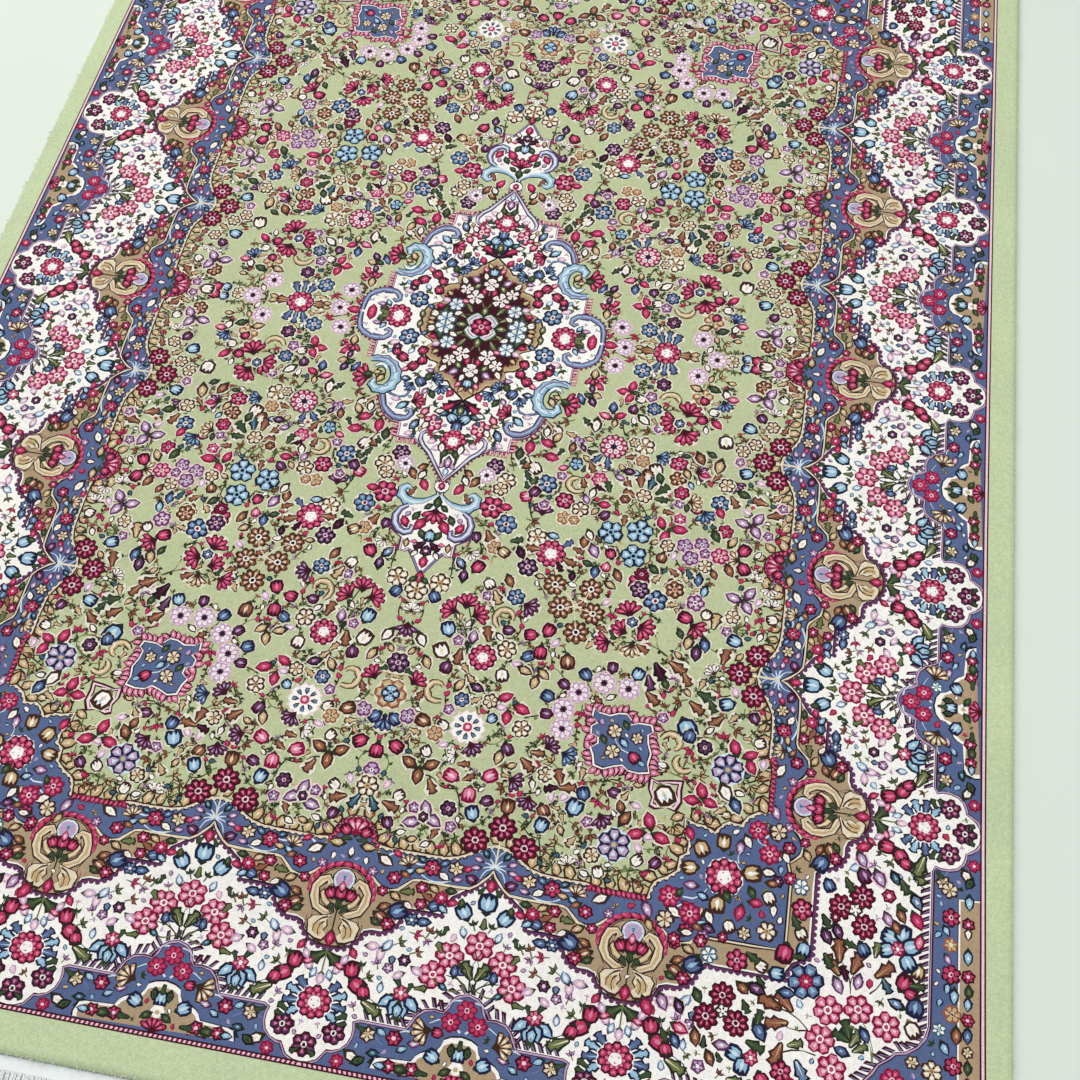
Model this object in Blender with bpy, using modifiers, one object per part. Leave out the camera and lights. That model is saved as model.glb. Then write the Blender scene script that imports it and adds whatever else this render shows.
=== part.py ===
"""Persian rug: a hand-knotted wool carpet lying flat, with a white cotton fringe at each short end.

Frame: +Z up, the rug's length along Y, the origin on the floor under the middle of the rug.
The near end is at -Y and the far end is at +Y.
"""

import random

import bmesh
import bpy

# Driving dimensions, in metres.
PILE_LENGTH = 2.060
HALF_WIDTH_FAR = 0.7260
HALF_WIDTH_MIDDLE = 0.7345
HALF_WIDTH_NEAR = 0.7480
PILE_THICKNESS = 0.012
SHOULDER_RADIUS = 0.008
SHOULDER_STEPS = 4
SIDE_SECTIONS = 16

FRINGE_THICKNESS = 0.0024
FRINGE_INSET = 0.006
HEADING_DEPTH = 0.026
TASSEL_LENGTH = 0.052
TASSEL_PITCH = 0.0136
TASSEL_ROOT_WIDTH = 0.0092
TASSEL_TIP_WIDTH = 0.0056
TASSEL_LEAN = 0.0024
TASSEL_LENGTH_SPREAD = 0.004
TOUCH_GAP = 0.0003

WOOL_GREEN = (0.50, 0.60, 0.33, 1.0)
COTTON_WHITE = (0.86, 0.87, 0.84, 1.0)


def half_width(y):
    """Half the rug's width at y: the sides spread a little from the far end to the near end."""
    along = y / (PILE_LENGTH / 2)
    spread = (HALF_WIDTH_FAR - HALF_WIDTH_NEAR) / 2
    bow = (HALF_WIDTH_FAR + HALF_WIDTH_NEAR) / 2 - HALF_WIDTH_MIDDLE
    return HALF_WIDTH_MIDDLE + spread * along + bow * along * along


def plain_material(name, colour, roughness):
    """A Principled BSDF of one colour."""
    material = bpy.data.materials.new(name)
    material.use_nodes = True
    shader = material.node_tree.nodes["Principled BSDF"]
    shader.inputs["Base Color"].default_value = colour
    shader.inputs["Roughness"].default_value = roughness
    shader.inputs["Metallic"].default_value = 0.0
    return material


def make_pile(collection, material):
    """The knotted cloth and its pile: one flat slab with a rounded shoulder all round the top."""
    mesh = bpy.data.meshes.new("rug_pile")
    form = bmesh.new()
    bmesh.ops.create_cube(form, size=1.0)
    half_length = PILE_LENGTH / 2
    for vert in form.verts:
        vert.co.y *= PILE_LENGTH
        vert.co.z = (vert.co.z + 0.5) * PILE_THICKNESS
    for section in range(1, SIDE_SECTIONS):
        y = -half_length + PILE_LENGTH * section / SIDE_SECTIONS
        everything = form.verts[:] + form.edges[:] + form.faces[:]
        bmesh.ops.bisect_plane(form, geom=everything, dist=1e-6, plane_co=(0, y, 0), plane_no=(0, 1, 0))
    for vert in form.verts:
        side = 1.0 if vert.co.x > 0 else -1.0
        vert.co.x = side * half_width(vert.co.y)
    weight = form.edges.layers.float.new("bevel_weight_edge")
    for edge in form.edges:
        low, high = sorted(vert.co.z for vert in edge.verts)
        is_post = high - low > PILE_THICKNESS / 2
        is_cross = all(abs(vert.co.y) < half_length - 1e-5 for vert in edge.verts)
        is_cross = is_cross and abs(edge.verts[0].co.y - edge.verts[1].co.y) < 1e-5
        is_corner_post = is_post and abs(edge.verts[0].co.y) > half_length - 1e-5
        is_top_rim = low > PILE_THICKNESS / 2 and not is_cross
        edge[weight] = 1.0 if is_corner_post or is_top_rim else 0.0
    form.to_mesh(mesh)
    form.free()
    pile = bpy.data.objects.new("rug_pile", mesh)
    collection.objects.link(pile)
    pile.data.materials.append(material)
    shoulder = pile.modifiers.new("shoulder", "BEVEL")
    shoulder.limit_method = "WEIGHT"
    shoulder.width = SHOULDER_RADIUS
    shoulder.segments = SHOULDER_STEPS
    return pile


def comb_outline(reach, seed):
    """The outline of one fringe: a straight heading, then a row of slightly uneven tassels."""
    chance = random.Random(seed)
    half = reach - FRINGE_INSET
    count = int(2 * half / TASSEL_PITCH)
    pitch = 2 * half / count
    points = [(half, 0.0), (-half, 0.0)]
    for index in range(count):
        middle = -half + pitch * (index + 0.5)
        lean = chance.uniform(-TASSEL_LEAN, TASSEL_LEAN)
        tip = -HEADING_DEPTH - TASSEL_LENGTH + chance.uniform(0.0, TASSEL_LENGTH_SPREAD)
        points.append((middle - TASSEL_ROOT_WIDTH / 2, -HEADING_DEPTH))
        points.append((middle + lean - TASSEL_TIP_WIDTH / 2, tip))
        points.append((middle + lean + TASSEL_TIP_WIDTH / 2, tip))
        points.append((middle + TASSEL_ROOT_WIDTH / 2, -HEADING_DEPTH))
    first = (-half, -HEADING_DEPTH)
    last = (half, -HEADING_DEPTH)
    return points[:2] + [first] + points[2:] + [last]


def make_fringe(name, collection, material, end, seed):
    """One fringe along a short end: end is -1 at the near end and +1 at the far end."""
    curve = bpy.data.curves.new(name, "CURVE")
    curve.dimensions = "2D"
    curve.fill_mode = "BOTH"
    curve.extrude = FRINGE_THICKNESS / 2
    outline = comb_outline(half_width(end * PILE_LENGTH / 2), seed)
    spline = curve.splines.new("POLY")
    spline.points.add(len(outline) - 1)
    for point, (x, y) in zip(spline.points, outline):
        point.co = (-end * x, -end * y, 0.0, 1.0)
    spline.use_cyclic_u = True
    fringe = bpy.data.objects.new(name, curve)
    collection.objects.link(fringe)
    fringe.location = (0.0, end * (PILE_LENGTH / 2 + TOUCH_GAP), FRINGE_THICKNESS / 2)
    fringe.data.materials.append(material)
    return fringe


def main():
    """Clears the scene and makes the rug's three pieces."""
    for old in list(bpy.data.objects):
        bpy.data.objects.remove(old, do_unlink=True)
    collection = bpy.data.collections.new("persian_rug")
    bpy.context.scene.collection.children.link(collection)
    wool = plain_material("wool_pile", WOOL_GREEN, 0.95)
    cotton = plain_material("cotton_fringe", COTTON_WHITE, 0.90)
    make_pile(collection, wool)
    make_fringe("fringe_near", collection, cotton, -1, 11)
    make_fringe("fringe_far", collection, cotton, 1, 23)


main()
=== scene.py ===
# %% [markdown]
# # A hand-knotted carpet
# A Persian rug is a cotton foundation, a cut wool pile knotted into it, and a cotton fringe at each
# end. Nearly all that is seen of it is the design in the pile. So this lesson spends most of its cells
# on that design: a quarter of it is charted, as a weaver's cartoon is, and then mirrored.

# %%  The frame
import math
import random

import bmesh
import bpy
import numpy as np
from mathutils import Matrix, Vector, geometry


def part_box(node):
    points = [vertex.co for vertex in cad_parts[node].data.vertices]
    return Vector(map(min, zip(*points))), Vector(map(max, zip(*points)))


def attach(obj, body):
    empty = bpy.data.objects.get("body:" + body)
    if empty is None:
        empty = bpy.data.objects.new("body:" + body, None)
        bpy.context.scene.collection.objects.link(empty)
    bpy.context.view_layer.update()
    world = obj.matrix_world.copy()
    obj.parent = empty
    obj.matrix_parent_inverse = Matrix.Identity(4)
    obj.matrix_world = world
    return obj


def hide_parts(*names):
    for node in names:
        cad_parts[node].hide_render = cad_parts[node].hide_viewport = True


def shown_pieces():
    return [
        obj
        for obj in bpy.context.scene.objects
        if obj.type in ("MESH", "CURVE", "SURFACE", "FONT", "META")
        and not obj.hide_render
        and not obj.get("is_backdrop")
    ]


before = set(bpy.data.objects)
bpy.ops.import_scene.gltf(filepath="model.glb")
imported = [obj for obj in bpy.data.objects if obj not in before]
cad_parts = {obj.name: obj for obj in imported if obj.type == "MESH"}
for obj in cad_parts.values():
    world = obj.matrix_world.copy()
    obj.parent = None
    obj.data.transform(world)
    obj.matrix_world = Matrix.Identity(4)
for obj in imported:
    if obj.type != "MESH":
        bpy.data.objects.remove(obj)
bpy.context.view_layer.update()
pile_low, pile_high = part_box("rug_pile")
PILE_HALF_LENGTH = pile_high[1]
PILE_TOP = pile_high[2]
print("pile", pile_low, pile_high)

# %% [markdown]
# ## Squared paper
# A cartoon is drawn on squared paper. Here one square is 0.915 mm, so that a knot takes two squares by
# two. `x` counts squares from the rug's long axis out to the side, and `y` from its short axis towards
# an end. The design is the same in all four quarters, so only one is drawn.

# %%  The size of a square, and where the bands end
SQUARE = 0.000915
GUARD_X, GUARD_Y = 766.0, 1079.0
# the design's long axis lies 4 mm to one side of the middle of the rug
AXIS_X = -0.004
EDGE_X = 804.0
EDGE_Y = PILE_HALF_LENGTH / SQUARE
CHART = []
TAKEN = []
HALOS = [True]
chance = random.Random(5)
print("half the pile is", EDGE_X, "by", round(EDGE_Y, 1), "squares")

# %% [markdown]
# ## Dyes
# Each dye is written as its colour, 0 to 255 for red, green and blue. The meadow green of the
# field and the paler celadon of the outer band are the ground of this rug; wine, crimson, rose and blush
# are the four reds of its flowers.

# %%  Dyes
DYES = {
    "meadow": (189, 197, 155), "celadon": (198, 212, 170), "pale": (230, 225, 206), "ivory": (250, 246, 240),
    "cream": (230, 216, 188), "gold": (200, 172, 128), "tan": (176, 152, 122), "rust": (146, 92, 70),
    "brown": (64, 38, 31), "maroon": (62, 17, 33), "wine": (128, 22, 58), "crimson": (190, 58, 98),
    "rose": (222, 124, 154), "blush": (240, 204, 214), "lilac": (190, 160, 194), "plum": (98, 54, 92),
    "cobalt": (87, 103, 143), "slate": (108, 130, 166), "indigo": (30, 32, 60), "sky": (150, 190, 214),
    "mist": (212, 226, 236), "ink": (26, 18, 22), "moss": (110, 118, 74), "leaf": (38, 47, 33),
    "teal": (62, 96, 112), "violet": (132, 118, 162), "fern": (60, 78, 53),
}
DYE_NAMES = list(DYES)


def linear_colour(dye):
    """a dye as Blender wants it: red, green and blue from 0 to 1 in linear light, and alpha"""
    return [((c / 255 + 0.055) / 1.055) ** 2.4 for c in DYES[dye]] + [1.0]


print("dyes", len(DYES))

# %% [markdown]
# ## Laying wool
# A motif is a stack of flat patches, each with one dye, and a later patch covers an earlier one, as
# paper cut-outs do. `lay` adds a patch. `take` notes that a circle of ground is in use, so that small
# filling flowers can look for free ground later.

# %%  Patches of dye
def lay(points, dye):
    CHART.append((np.asarray(points, float), dye))


def take(x, y, r):
    TAKEN.append((x, y, r))


def place(points, x, y, turn=0.0, size=1.0):
    """turns, scales and moves a patch"""
    a = math.radians(turn)
    c, s = math.cos(a) * size, math.sin(a) * size
    p = np.asarray(points, float)
    return np.stack([x + p[:, 0] * c - p[:, 1] * s, y + p[:, 0] * s + p[:, 1] * c], 1)


def capture(draw):
    """runs a drawing function, and returns what it laid and took instead of keeping it"""
    kept, circles = list(CHART), list(TAKEN)
    CHART.clear()
    TAKEN.clear()
    draw()
    got = (list(CHART), list(TAKEN))
    CHART[:] = kept
    TAKEN[:] = circles
    return got


def patches_in(draw):
    """how many patches a drawing function lays; it leaves the chart and the chance as they were"""
    before = chance.getstate()
    count = len(capture(draw)[0])
    chance.setstate(before)
    return count


def stamp(got, to=None, reach=1e9):
    """lays a captured motif again, through a mapping of its points"""
    for points, dye in got[0]:
        if abs(points[:, 1]).mean() <= reach:
            lay(to(points) if to else points, dye)
    for x, y, r in got[1]:
        if abs(y) <= reach:
            spot = to(np.array([[x, y]]))[0] if to else (x, y)
            take(spot[0], spot[1], r)


print("a spot ten squares out, given a quarter turn", place([(10, 0)], 0, 0, 90).round(2).tolist())

# %% [markdown]
# ## Rings, lobes and petals
# Flowers seen from above are rings of petals. `lobes` is the scalloped outline round a flower, and
# `petal` is one petal, a wedge with a blunt tip. They have few points, because a knotted petal is only
# a handful of knots across. On the meadow ground each flower has a pale halo round it, and on the
# darker grounds of the borders it has none; the switch `HALOS` says which.

# %%  Outlines that flowers are made from
def from_polar(points):
    return np.array([(q * math.cos(b), q * math.sin(b)) for q, b in points])


def ring(r, n, squash=1.0):
    a = 2 * math.pi * (np.arange(n) + 0.5) / n
    return np.stack([r * np.cos(a), r * squash * np.sin(a)], 1)


def lobes(r, n, notch=0.84, per=2):
    points = []
    half = math.pi / n
    for k in range(n):
        a = 2 * math.pi * k / n
        points.append((notch * r, a - half))
        for j in range(per):
            t = (j + 0.5) / per * 2 - 1
            points.append((r, a + 0.75 * half * t))
    return from_polar(points)


def petal(r0, r1, half, a, blunt=True):
    mid = r0 + 0.55 * (r1 - r0)
    points = [(r0, a), (mid, a - half)]
    points += [(r1, a - 0.62 * half), (r1, a + 0.62 * half)] if blunt else [(r1, a)]
    points.append((mid, a + half))
    return from_polar(points)


def wedge(r0, r1, half, a):
    return from_polar([(r0, a), (r1, a - half), (r1, a + half)])


print("corners of an eight-lobed outline", len(lobes(10, 8)))


# %% [markdown]
# ## Flowers seen from above
# The rug repeats a dozen of these. Each kind has its number of petals and its dyes: a pale halo that
# lifts it from the ground, a dark outline, the petal, a lighter streak in it, the ring round the heart
# and the heart. Only large flowers have room for all of that.

# %%  Blooms
# petals, halo, outline, petal, streak, ring, heart
BLOOMS = {
    "crimson": (6, "pale", "maroon", "crimson", "rose", "blush", "wine"),
    "pink": (6, "blush", "wine", "rose", "blush", "ivory", "crimson"),
    "berry": (7, None, "wine", "crimson", "rose", "blush", "wine"),
    "garnet": (8, None, "maroon", "wine", "rose", "blush", "maroon"),
    "sky": (5, None, "indigo", "sky", "mist", "sky", "ink"),
    "cobalt": (6, "pale", "indigo", "slate", "sky", "ivory", "wine"),
    "gold": (6, "pale", "brown", "cream", "ivory", "gold", "rust"),
    "ochre": (6, "pale", "rust", "gold", "cream", "cream", "brown"),
    "wheel": (8, None, "brown", "rust", "cream", "ivory", "ink"),
    "daisy": (8, "blush", "lilac", "ivory", "blush", "plum", "ink"),
    "lilac": (5, "blush", "plum", "lilac", "blush", "ivory", "plum"),
    "plum": (6, "pale", "ink", "plum", "lilac", "blush", "plum"),
    "white": (5, None, "brown", "ivory", "blush", "ivory", "rust"),
    "maroon": (6, None, "maroon", "plum", "rose", "ivory", "maroon"),
    "cupid": (6, "mist", "indigo", "lilac", "mist", "cobalt", "gold"),
    "orange": (6, "cream", "brown", "rust", "cream", "gold", "crimson"),
    "ivory": (6, "cream", "teal", "ivory", "mist", "sky", "cobalt"),
}


def bloom(x, y, r, kind, turn=None):
    n, halo, line, main, streak, rim, heart = BLOOMS[kind]
    turn = chance.uniform(0, 360 / n) if turn is None else turn
    big = r >= 9
    if halo and HALOS[0]:
        lay(place(lobes(r + (4.0 if big else 3.4), n, 0.92, 1), x, y, turn), halo)
    lay(place(lobes(r + (2.3 if big else 1.8), n, 0.80, 2 if big else 1), x, y, turn), line)
    step = 2 * math.pi / n
    for k in range(n):
        reach = r * chance.uniform(0.9, 1.02)
        lay(place(petal(0.24 * r, reach, 0.40 * step, k * step, big), x, y, turn), main)
        if r >= 10.5:
            lay(place(wedge(0.36 * r, 0.76 * r, 0.20 * step, k * step), x, y, turn), streak)
    heart_size = 0.40 if kind == "daisy" else 0.32
    lay(place(ring(heart_size * r, 6), x, y, turn), rim)
    if big:
        lay(place(ring(0.6 * heart_size * r, 5), x, y, turn), heart)
    take(x, y, r + 1.5)


print("kinds of bloom", len(BLOOMS), "patches in a large one", patches_in(lambda: bloom(0, 0, 12, "pink")))

# %% [markdown]
# The largest flowers are the roses, with two rings of petals round a pale heart; a pink rosette with
# blue marks; and a white star with a pink fringe.

# %%  Roses, rosettes and the white star
def rose(x, y, r, turn=None):
    turn = chance.uniform(0, 36) if turn is None else turn
    n = 10
    step = 2 * math.pi / n
    lay(place(lobes(r + 3.0, n, 0.92, 1), x, y, turn), "ivory")
    lay(place(lobes(r + 1.8, n, 0.87), x, y, turn), "maroon")
    for k in range(n):
        lay(place(petal(0.5 * r, r * 0.98, 0.42 * step, k * step), x, y, turn), "crimson")
        lay(place(wedge(0.68 * r, r * 0.90, 0.26 * step, k * step), x, y, turn), "rose")
    lay(place(lobes(0.68 * r, n, 0.90, 1), x, y, turn + 18), "wine")
    for k in range(n):
        lay(place(petal(0.36 * r, 0.64 * r, 0.40 * step, (k + 0.5) * step, False), x, y, turn), "rose")
    lay(place(lobes(0.45 * r, 5, 0.84, 1), x, y, turn), "ivory")
    for k in range(3):
        b = math.radians(turn) + k * 2.1
        spot = (x + 0.18 * r * math.cos(b), y + 0.18 * r * math.sin(b))
        lay(place(wedge(0.0, 0.12 * r, 0.7, b), *spot), "crimson")
    take(x, y, r + 2)


def rosette(x, y, r):
    n = 12
    step = 2 * math.pi / n
    lay(place(lobes(r + 2.0, n, 0.90, 1), x, y), "maroon")
    for k in range(n):
        lay(place(petal(0.55 * r, r * 0.98, 0.42 * step, k * step), x, y), "rose")
        lay(place(wedge(0.70 * r, r * 0.90, 0.24 * step, k * step), x, y), "blush")
    lay(place(lobes(0.70 * r, 6, 0.88), x, y), "crimson")
    for k in range(6):
        lay(place(petal(0.18 * r, 0.64 * r, 0.80 * step, k * 2 * step), x, y), "ivory")
        lay(place(wedge(0.30 * r, 0.52 * r, 0.44 * step, k * 2 * step), x, y), "slate")
    lay(place(ring(0.24 * r, 7), x, y), "indigo")
    take(x, y, r + 2)


def snowstar(x, y, r):
    n = 8
    step = 2 * math.pi / n
    lay(place(lobes(r + 3.5, 14, 0.78, 1), x, y), "blush")
    lay(place(lobes(r, 10, 0.86), x, y), "ivory")
    for k in range(n):
        lay(place(petal(0.32 * r, 0.80 * r, 0.32 * step, k * step), x, y), "ink")
        lay(place(wedge(0.46 * r, 0.74 * r, 0.20 * step, k * step), x, y), "slate")
    lay(place(ring(0.30 * r, 8), x, y), "crimson")
    lay(place(ring(0.15 * r, 5), x, y), "blush")
    take(x, y, r + 2)


print("patches in a rose", patches_in(lambda: rose(0, 0, 20)))

# %% [markdown]
# ## Flowers seen from the side
# These point along +x before they are turned. `cup` is a tulip, `fan` a carnation with its petals
# spread, `bud` a closed bud or a small petal, `leaf` a leaf with teeth and a vein, and `sprig` three
# slender leaflets on a stalk.

# %%  Cups and fans
CUP = [(-4.5, 0), (-2.5, -4.6), (2.5, -5.6), (7.2, -4.4), (4.4, -2.0), (8.6, 0), (4.4, 2.0), (7.2, 4.4),
       (2.5, 5.6), (-2.5, 4.6)]
CUP_LINE = [(-6.0, 0), (-3.4, -5.8), (2.5, -7.0), (8.6, -5.9), (10.2, 0), (8.6, 5.9), (2.5, 7.0), (-3.4, 5.8)]
CUP_STREAK = [(-3, 0), (1, -2.0), (6.6, 0), (1, 2.0)]
CUP_HALO = [(-7.6, 0), (-4.2, -6.9), (8.4, -7.6), (11.6, 0), (8.4, 7.6), (-4.2, 6.9)]
CALYX = [(-9, 0), (-5.5, -4.2), (-3.5, 0), (-5.5, 4.2)]
# halo, outline, petal, streak, calyx
CUPS = {
    "crimson": ("pale", "maroon", "crimson", "rose", "leaf"),
    "pink": ("pale", "wine", "rose", "blush", "leaf"),
    "sky": ("pale", "indigo", "sky", "mist", "leaf"),
    "blue": ("pale", "indigo", "cobalt", "sky", "leaf"),
    "plum": ("pale", "maroon", "plum", "lilac", "leaf"),
    "gold": ("cream", "brown", "gold", "ivory", "leaf"),
    "ivory": ("pale", "brown", "ivory", "cream", "moss"),
    "brown": ("cream", "brown", "rust", "cream", "leaf"),
}


def cup(x, y, size, turn, kind):
    pale, line, main, streak, green = CUPS[kind]
    s = size / 9.0
    if HALOS[0]:
        lay(place(np.array(CUP_HALO) * (1.1, 1.12), x, y, turn, s), pale)
    lay(place(CALYX, x, y, turn, s), green)
    lay(place(np.array(CUP_LINE) * (1.1, 1.18), x, y, turn, s), line)
    lay(place(CUP, x, y, turn, s), main)
    lay(place(CUP_STREAK, x, y, turn, s), streak)
    take(x, y, size)


def fan(x, y, size, turn, kind):
    """five petals spread from a calyx"""
    pale, line, main, streak, green = CUPS[kind]
    s = size / 13.0
    tips = [math.radians(a) for a in (-64, -32, 0, 32, 64)]

    def outline(r, inner):
        points = [(-7 - inner * 0.2, 0)]
        for a in tips:
            points.append((-6 + inner * math.cos(a - 0.28), inner * math.sin(a - 0.28)))
            points.append((-6 + r * math.cos(a - 0.1), r * math.sin(a - 0.1)))
            points.append((-6 + r * math.cos(a + 0.14), r * math.sin(a + 0.14)))
        points.append((-6 + inner * math.cos(tips[-1] + 0.28), inner * math.sin(tips[-1] + 0.28)))
        return points

    if HALOS[0]:
        lay(place(outline(21.6, 17.6), x, y, turn, s)[::2], pale)
    lay(place([(-13, 0), (-8, -5), (-3, -4), (-3, 4), (-8, 5)], x, y, turn, s), green)
    lay(place(outline(19.4, 15.2), x, y, turn, s), line)
    foot = place([(-6, 0)], x, y, turn, s)[0]
    for a in tips:
        lay(place(petal(3.5, 17.2, 0.215, a), foot[0], foot[1], turn, s), main)
        lay(place(wedge(6.0, 13.0, 0.11, a), foot[0], foot[1], turn, s), streak)
    take(x + 2 * s, y, size)


print("patches in a carnation", patches_in(lambda: fan(0, 0, 13, 0, "pink")))

# %%  Buds and leaves
BUD = [(-6, 0), (-2.5, -3.4), (2.5, -2.8), (6.8, 0), (2.5, 2.8), (-2.5, 3.4)]
# outline, petal, streak
BUDS = {
    "crimson": ("wine", "crimson", "rose"), "pink": ("wine", "rose", "blush"),
    "plum": ("ink", "plum", "lilac"), "lilac": ("plum", "lilac", "ivory"),
    "maroon": ("ink", "maroon", "plum"), "ivory": ("brown", "ivory", "cream"),
    "gold": ("brown", "gold", "cream"), "brown": ("brown", "rust", "gold"),
    "blue": ("indigo", "cobalt", "sky"), "sky": ("indigo", "sky", "mist"), "teal": ("ink", "teal", "sky"),
    "green": ("leaf", "fern", "moss"), "moss": ("leaf", "moss", "cream"), "olive": ("leaf", "moss", "cream"),
    "dark": ("ink", "fern", "leaf"), "grey": ("ink", "slate", "mist"),
    "ghost": ("lilac", "blush", "ivory"), "haze": ("slate", "mist", "ivory"),
}


def bud(x, y, size, turn, kind, halo=None):
    line, main, streak = BUDS[kind]
    s = size / 7.0
    if halo or (HALOS[0] and size >= 6):
        lay(place(np.array(BUD) * (1.5, 2.15), x, y, turn, s), halo or "pale")
    if size >= 5.5:
        lay(place([(-11, 0), (-5, -4.6), (-3, 0), (-5, 4.6)], x, y, turn, s), "leaf")
    lay(place(np.array(BUD) * (1.3, 1.72), x, y, turn, s), line)
    lay(place(BUD, x, y, turn, s), main)
    if size >= 5.5:
        lay(place(np.array(BUD)[[0, 2, 4]] * (0.6, 0.6), x, y, turn, s), streak)
    take(x, y, size * 0.8)


def leaf(x, y, size, turn, kind="green", teeth=3, halo=None):
    line, main, vein = BUDS[kind]
    s = size / 10.0
    teeth = min(teeth, 2) if size < 7.5 else teeth
    up, low = [], []
    for k in range(teeth):
        t = k / teeth
        w = 4.7 * math.sin(math.pi * (0.17 + 0.76 * t))
        up += [(-8.8 + 20 * t, w * 0.70), (-4.6 + 20 * t, w * 1.16)]
        low += [(-8.8 + 20 * t, -w * 0.70), (-4.6 + 20 * t, -w * 1.16)]
    points = np.array([(-10, 0)] + up + [(10.5, 0)] + low[::-1])
    if halo or (HALOS[0] and size >= 5):
        lay(place(points * (1.22, 1.95), x, y, turn, s)[::2], halo or "pale")
    lay(place(points * (1.12, 1.45), x, y, turn, s), line)
    lay(place(points * (0.92, 0.80), x, y, turn, s), main)
    if size > 8:
        lay(place([(-9, -0.6), (8, 0), (-9, 0.6)], x, y, turn, s), vein)
    way = math.radians(turn)
    for t in (-0.6, 0.0, 0.6):
        take(x + t * size * math.cos(way), y + t * size * math.sin(way), size * 0.42)


def sprig(x, y, size, turn, kind):
    """three slender leaflets on a stalk"""
    line, main, streak = BUDS[kind]
    if line == "ink":
        line, main = main, streak
    s = size / 7.0
    lay(place([(-10, -0.8), (-2, -0.9), (-2, 0.9), (-10, 0.8)], x, y, turn, s), "moss")
    foot = place([(-3, 0)], x, y, turn, s)[0]
    leaflet = np.array([(0.5, 0), (4, -2.6), (10.5, 0), (4, 2.6)])
    for a in (-48, 0, 48):
        lay(place(leaflet, foot[0], foot[1], turn + a, s), line if size >= 4.5 else main)
        if size >= 4.5:
            lay(place(leaflet * (0.66, 0.46) + (1.8, 0), foot[0], foot[1], turn + a, s), main)
    take(x, y, size * 0.8)


print("patches in a leaf with three teeth", patches_in(lambda: leaf(0, 0, 12, 0)))

# %% [markdown]
# ## Stems, scrolls and plumes
# A stem is a thin band along a bow. A scroll is a band in three dyes that ends in a curl, as the
# medallion's edge does. A plume is an acanthus leaf: a fat band with teeth along one side.

# %%  Bands along a path
def sideways(path):
    """the path as an array, and at each of its points a unit step to its left"""
    p = np.asarray(path, float)
    d = np.gradient(p, axis=0)
    d /= np.linalg.norm(d, axis=1)[:, None] + 1e-9
    return p, np.stack([-d[:, 1], d[:, 0]], 1)


def ribbon(path, width, dye, taper=0.0):
    p, n = sideways(path)
    t = np.linspace(0, 1, len(p))
    w = (width / 2 * (1 - taper * t))[:, None]
    lay(np.concatenate([p + n * w, (p - n * w)[::-1]]), dye)


def bow(x0, y0, x1, y1, sag, n=5):
    t = np.linspace(0, 1, n)
    dx, dy = x1 - x0, y1 - y0
    k = 4 * sag * t * (1 - t)
    return np.stack([x0 + dx * t - dy * k, y0 + dy * t + dx * k], 1)


def stem(x0, y0, x1, y1, sag=0.15, width=1.5, dye="leaf"):
    ribbon(bow(x0, y0, x1, y1, sag, 4), width, dye)


def curl(x, y, r, start, sweep, ends=0.35, n=12):
    """points on an arc of radius r about (x, y) that winds in to a part of r"""
    t = np.linspace(0, 1, n)
    a = np.radians(start + sweep * t)
    q = r * (1 - (1 - ends) * t)
    return np.stack([x + q * np.cos(a), y + q * np.sin(a)], 1)


def scroll(path, width, line="indigo", main="violet", streak="mist"):
    ribbon(path, width + 2.4, line)
    ribbon(path, width, main)
    ribbon(path, width * 0.36, streak)


def rounded(path):
    """cuts each corner of an open path in two"""
    p = np.asarray(path, float)
    cut = np.stack([p[:-1] * 0.75 + p[1:] * 0.25, p[:-1] * 0.25 + p[1:] * 0.75], 1).reshape(-1, 2)
    return np.concatenate([p[:1], cut[1:-1], p[-1:]])


def plume(path, width, line, main, streak, teeth=False):
    p, n = sideways(rounded(path) if width > 12 else path)
    t = np.linspace(0, 1, len(p))
    w = width / 2 * np.sin(math.pi * np.clip(0.12 + 0.83 * t, 0, 1)) ** 0.7
    grow = np.ones(len(p))
    if teeth:
        grow[1:-1:2] = 1.3
        grow[2:-1:2] = 0.85

    def band(extra, scale):
        left = p + n * (w * grow * scale + extra)[:, None]
        right = p - n * (w * scale + extra)[:, None]
        return np.concatenate([left, right[::-1]])

    lay(band(1.4, 1.0), line)
    lay(band(0.0, 0.9), main)
    lay(band(0.0, 0.34), streak)
    for k in range(0, len(p), 2):
        take(p[k][0], p[k][1], width * 0.6)


print("corners of a short bow", len(bow(0, 0, 20, 0, 0.2)))

# %% [markdown]
# ## Reading a written chart
# Carpet workshops write a design out in words, and someone reads it aloud to the weavers. The field of
# this rug is kept in that form: what, which kind, `x`, `y`, size and turn. `read_out` lays it.

# %%  The reader
FROM_ABOVE = {"rose": rose, "rosette": rosette, "snow": snowstar}
FROM_THE_SIDE = {"cup": cup, "fan": fan, "bud": bud, "leaf": leaf, "sprig": sprig}


def read_out(words):
    for item in words.replace("\n", ";").split(";"):
        part = item.split()
        if not part:
            continue
        what, kind = part[0], part[1]
        n = [float(q) for q in part[2:]]
        turn = n[3] if len(n) > 3 else chance.uniform(0, 360)
        if what in FROM_ABOVE:
            FROM_ABOVE[what](*n[:3])
        elif what in FROM_THE_SIDE:
            FROM_THE_SIDE[what](*n[:3], turn, kind)
        elif what == "hazy":
            bud(*n[:3], turn, kind, "blush")
        elif what == "bloom":
            bloom(*n[:3], kind, n[3] if len(n) > 3 else None)
        elif what == "stem":
            stem(*n[:4], n[4] if len(n) > 4 else 0.15, 1.4, kind)


print("flowers that a chart can name", len(FROM_ABOVE) + len(FROM_THE_SIDE) + 2)

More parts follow.
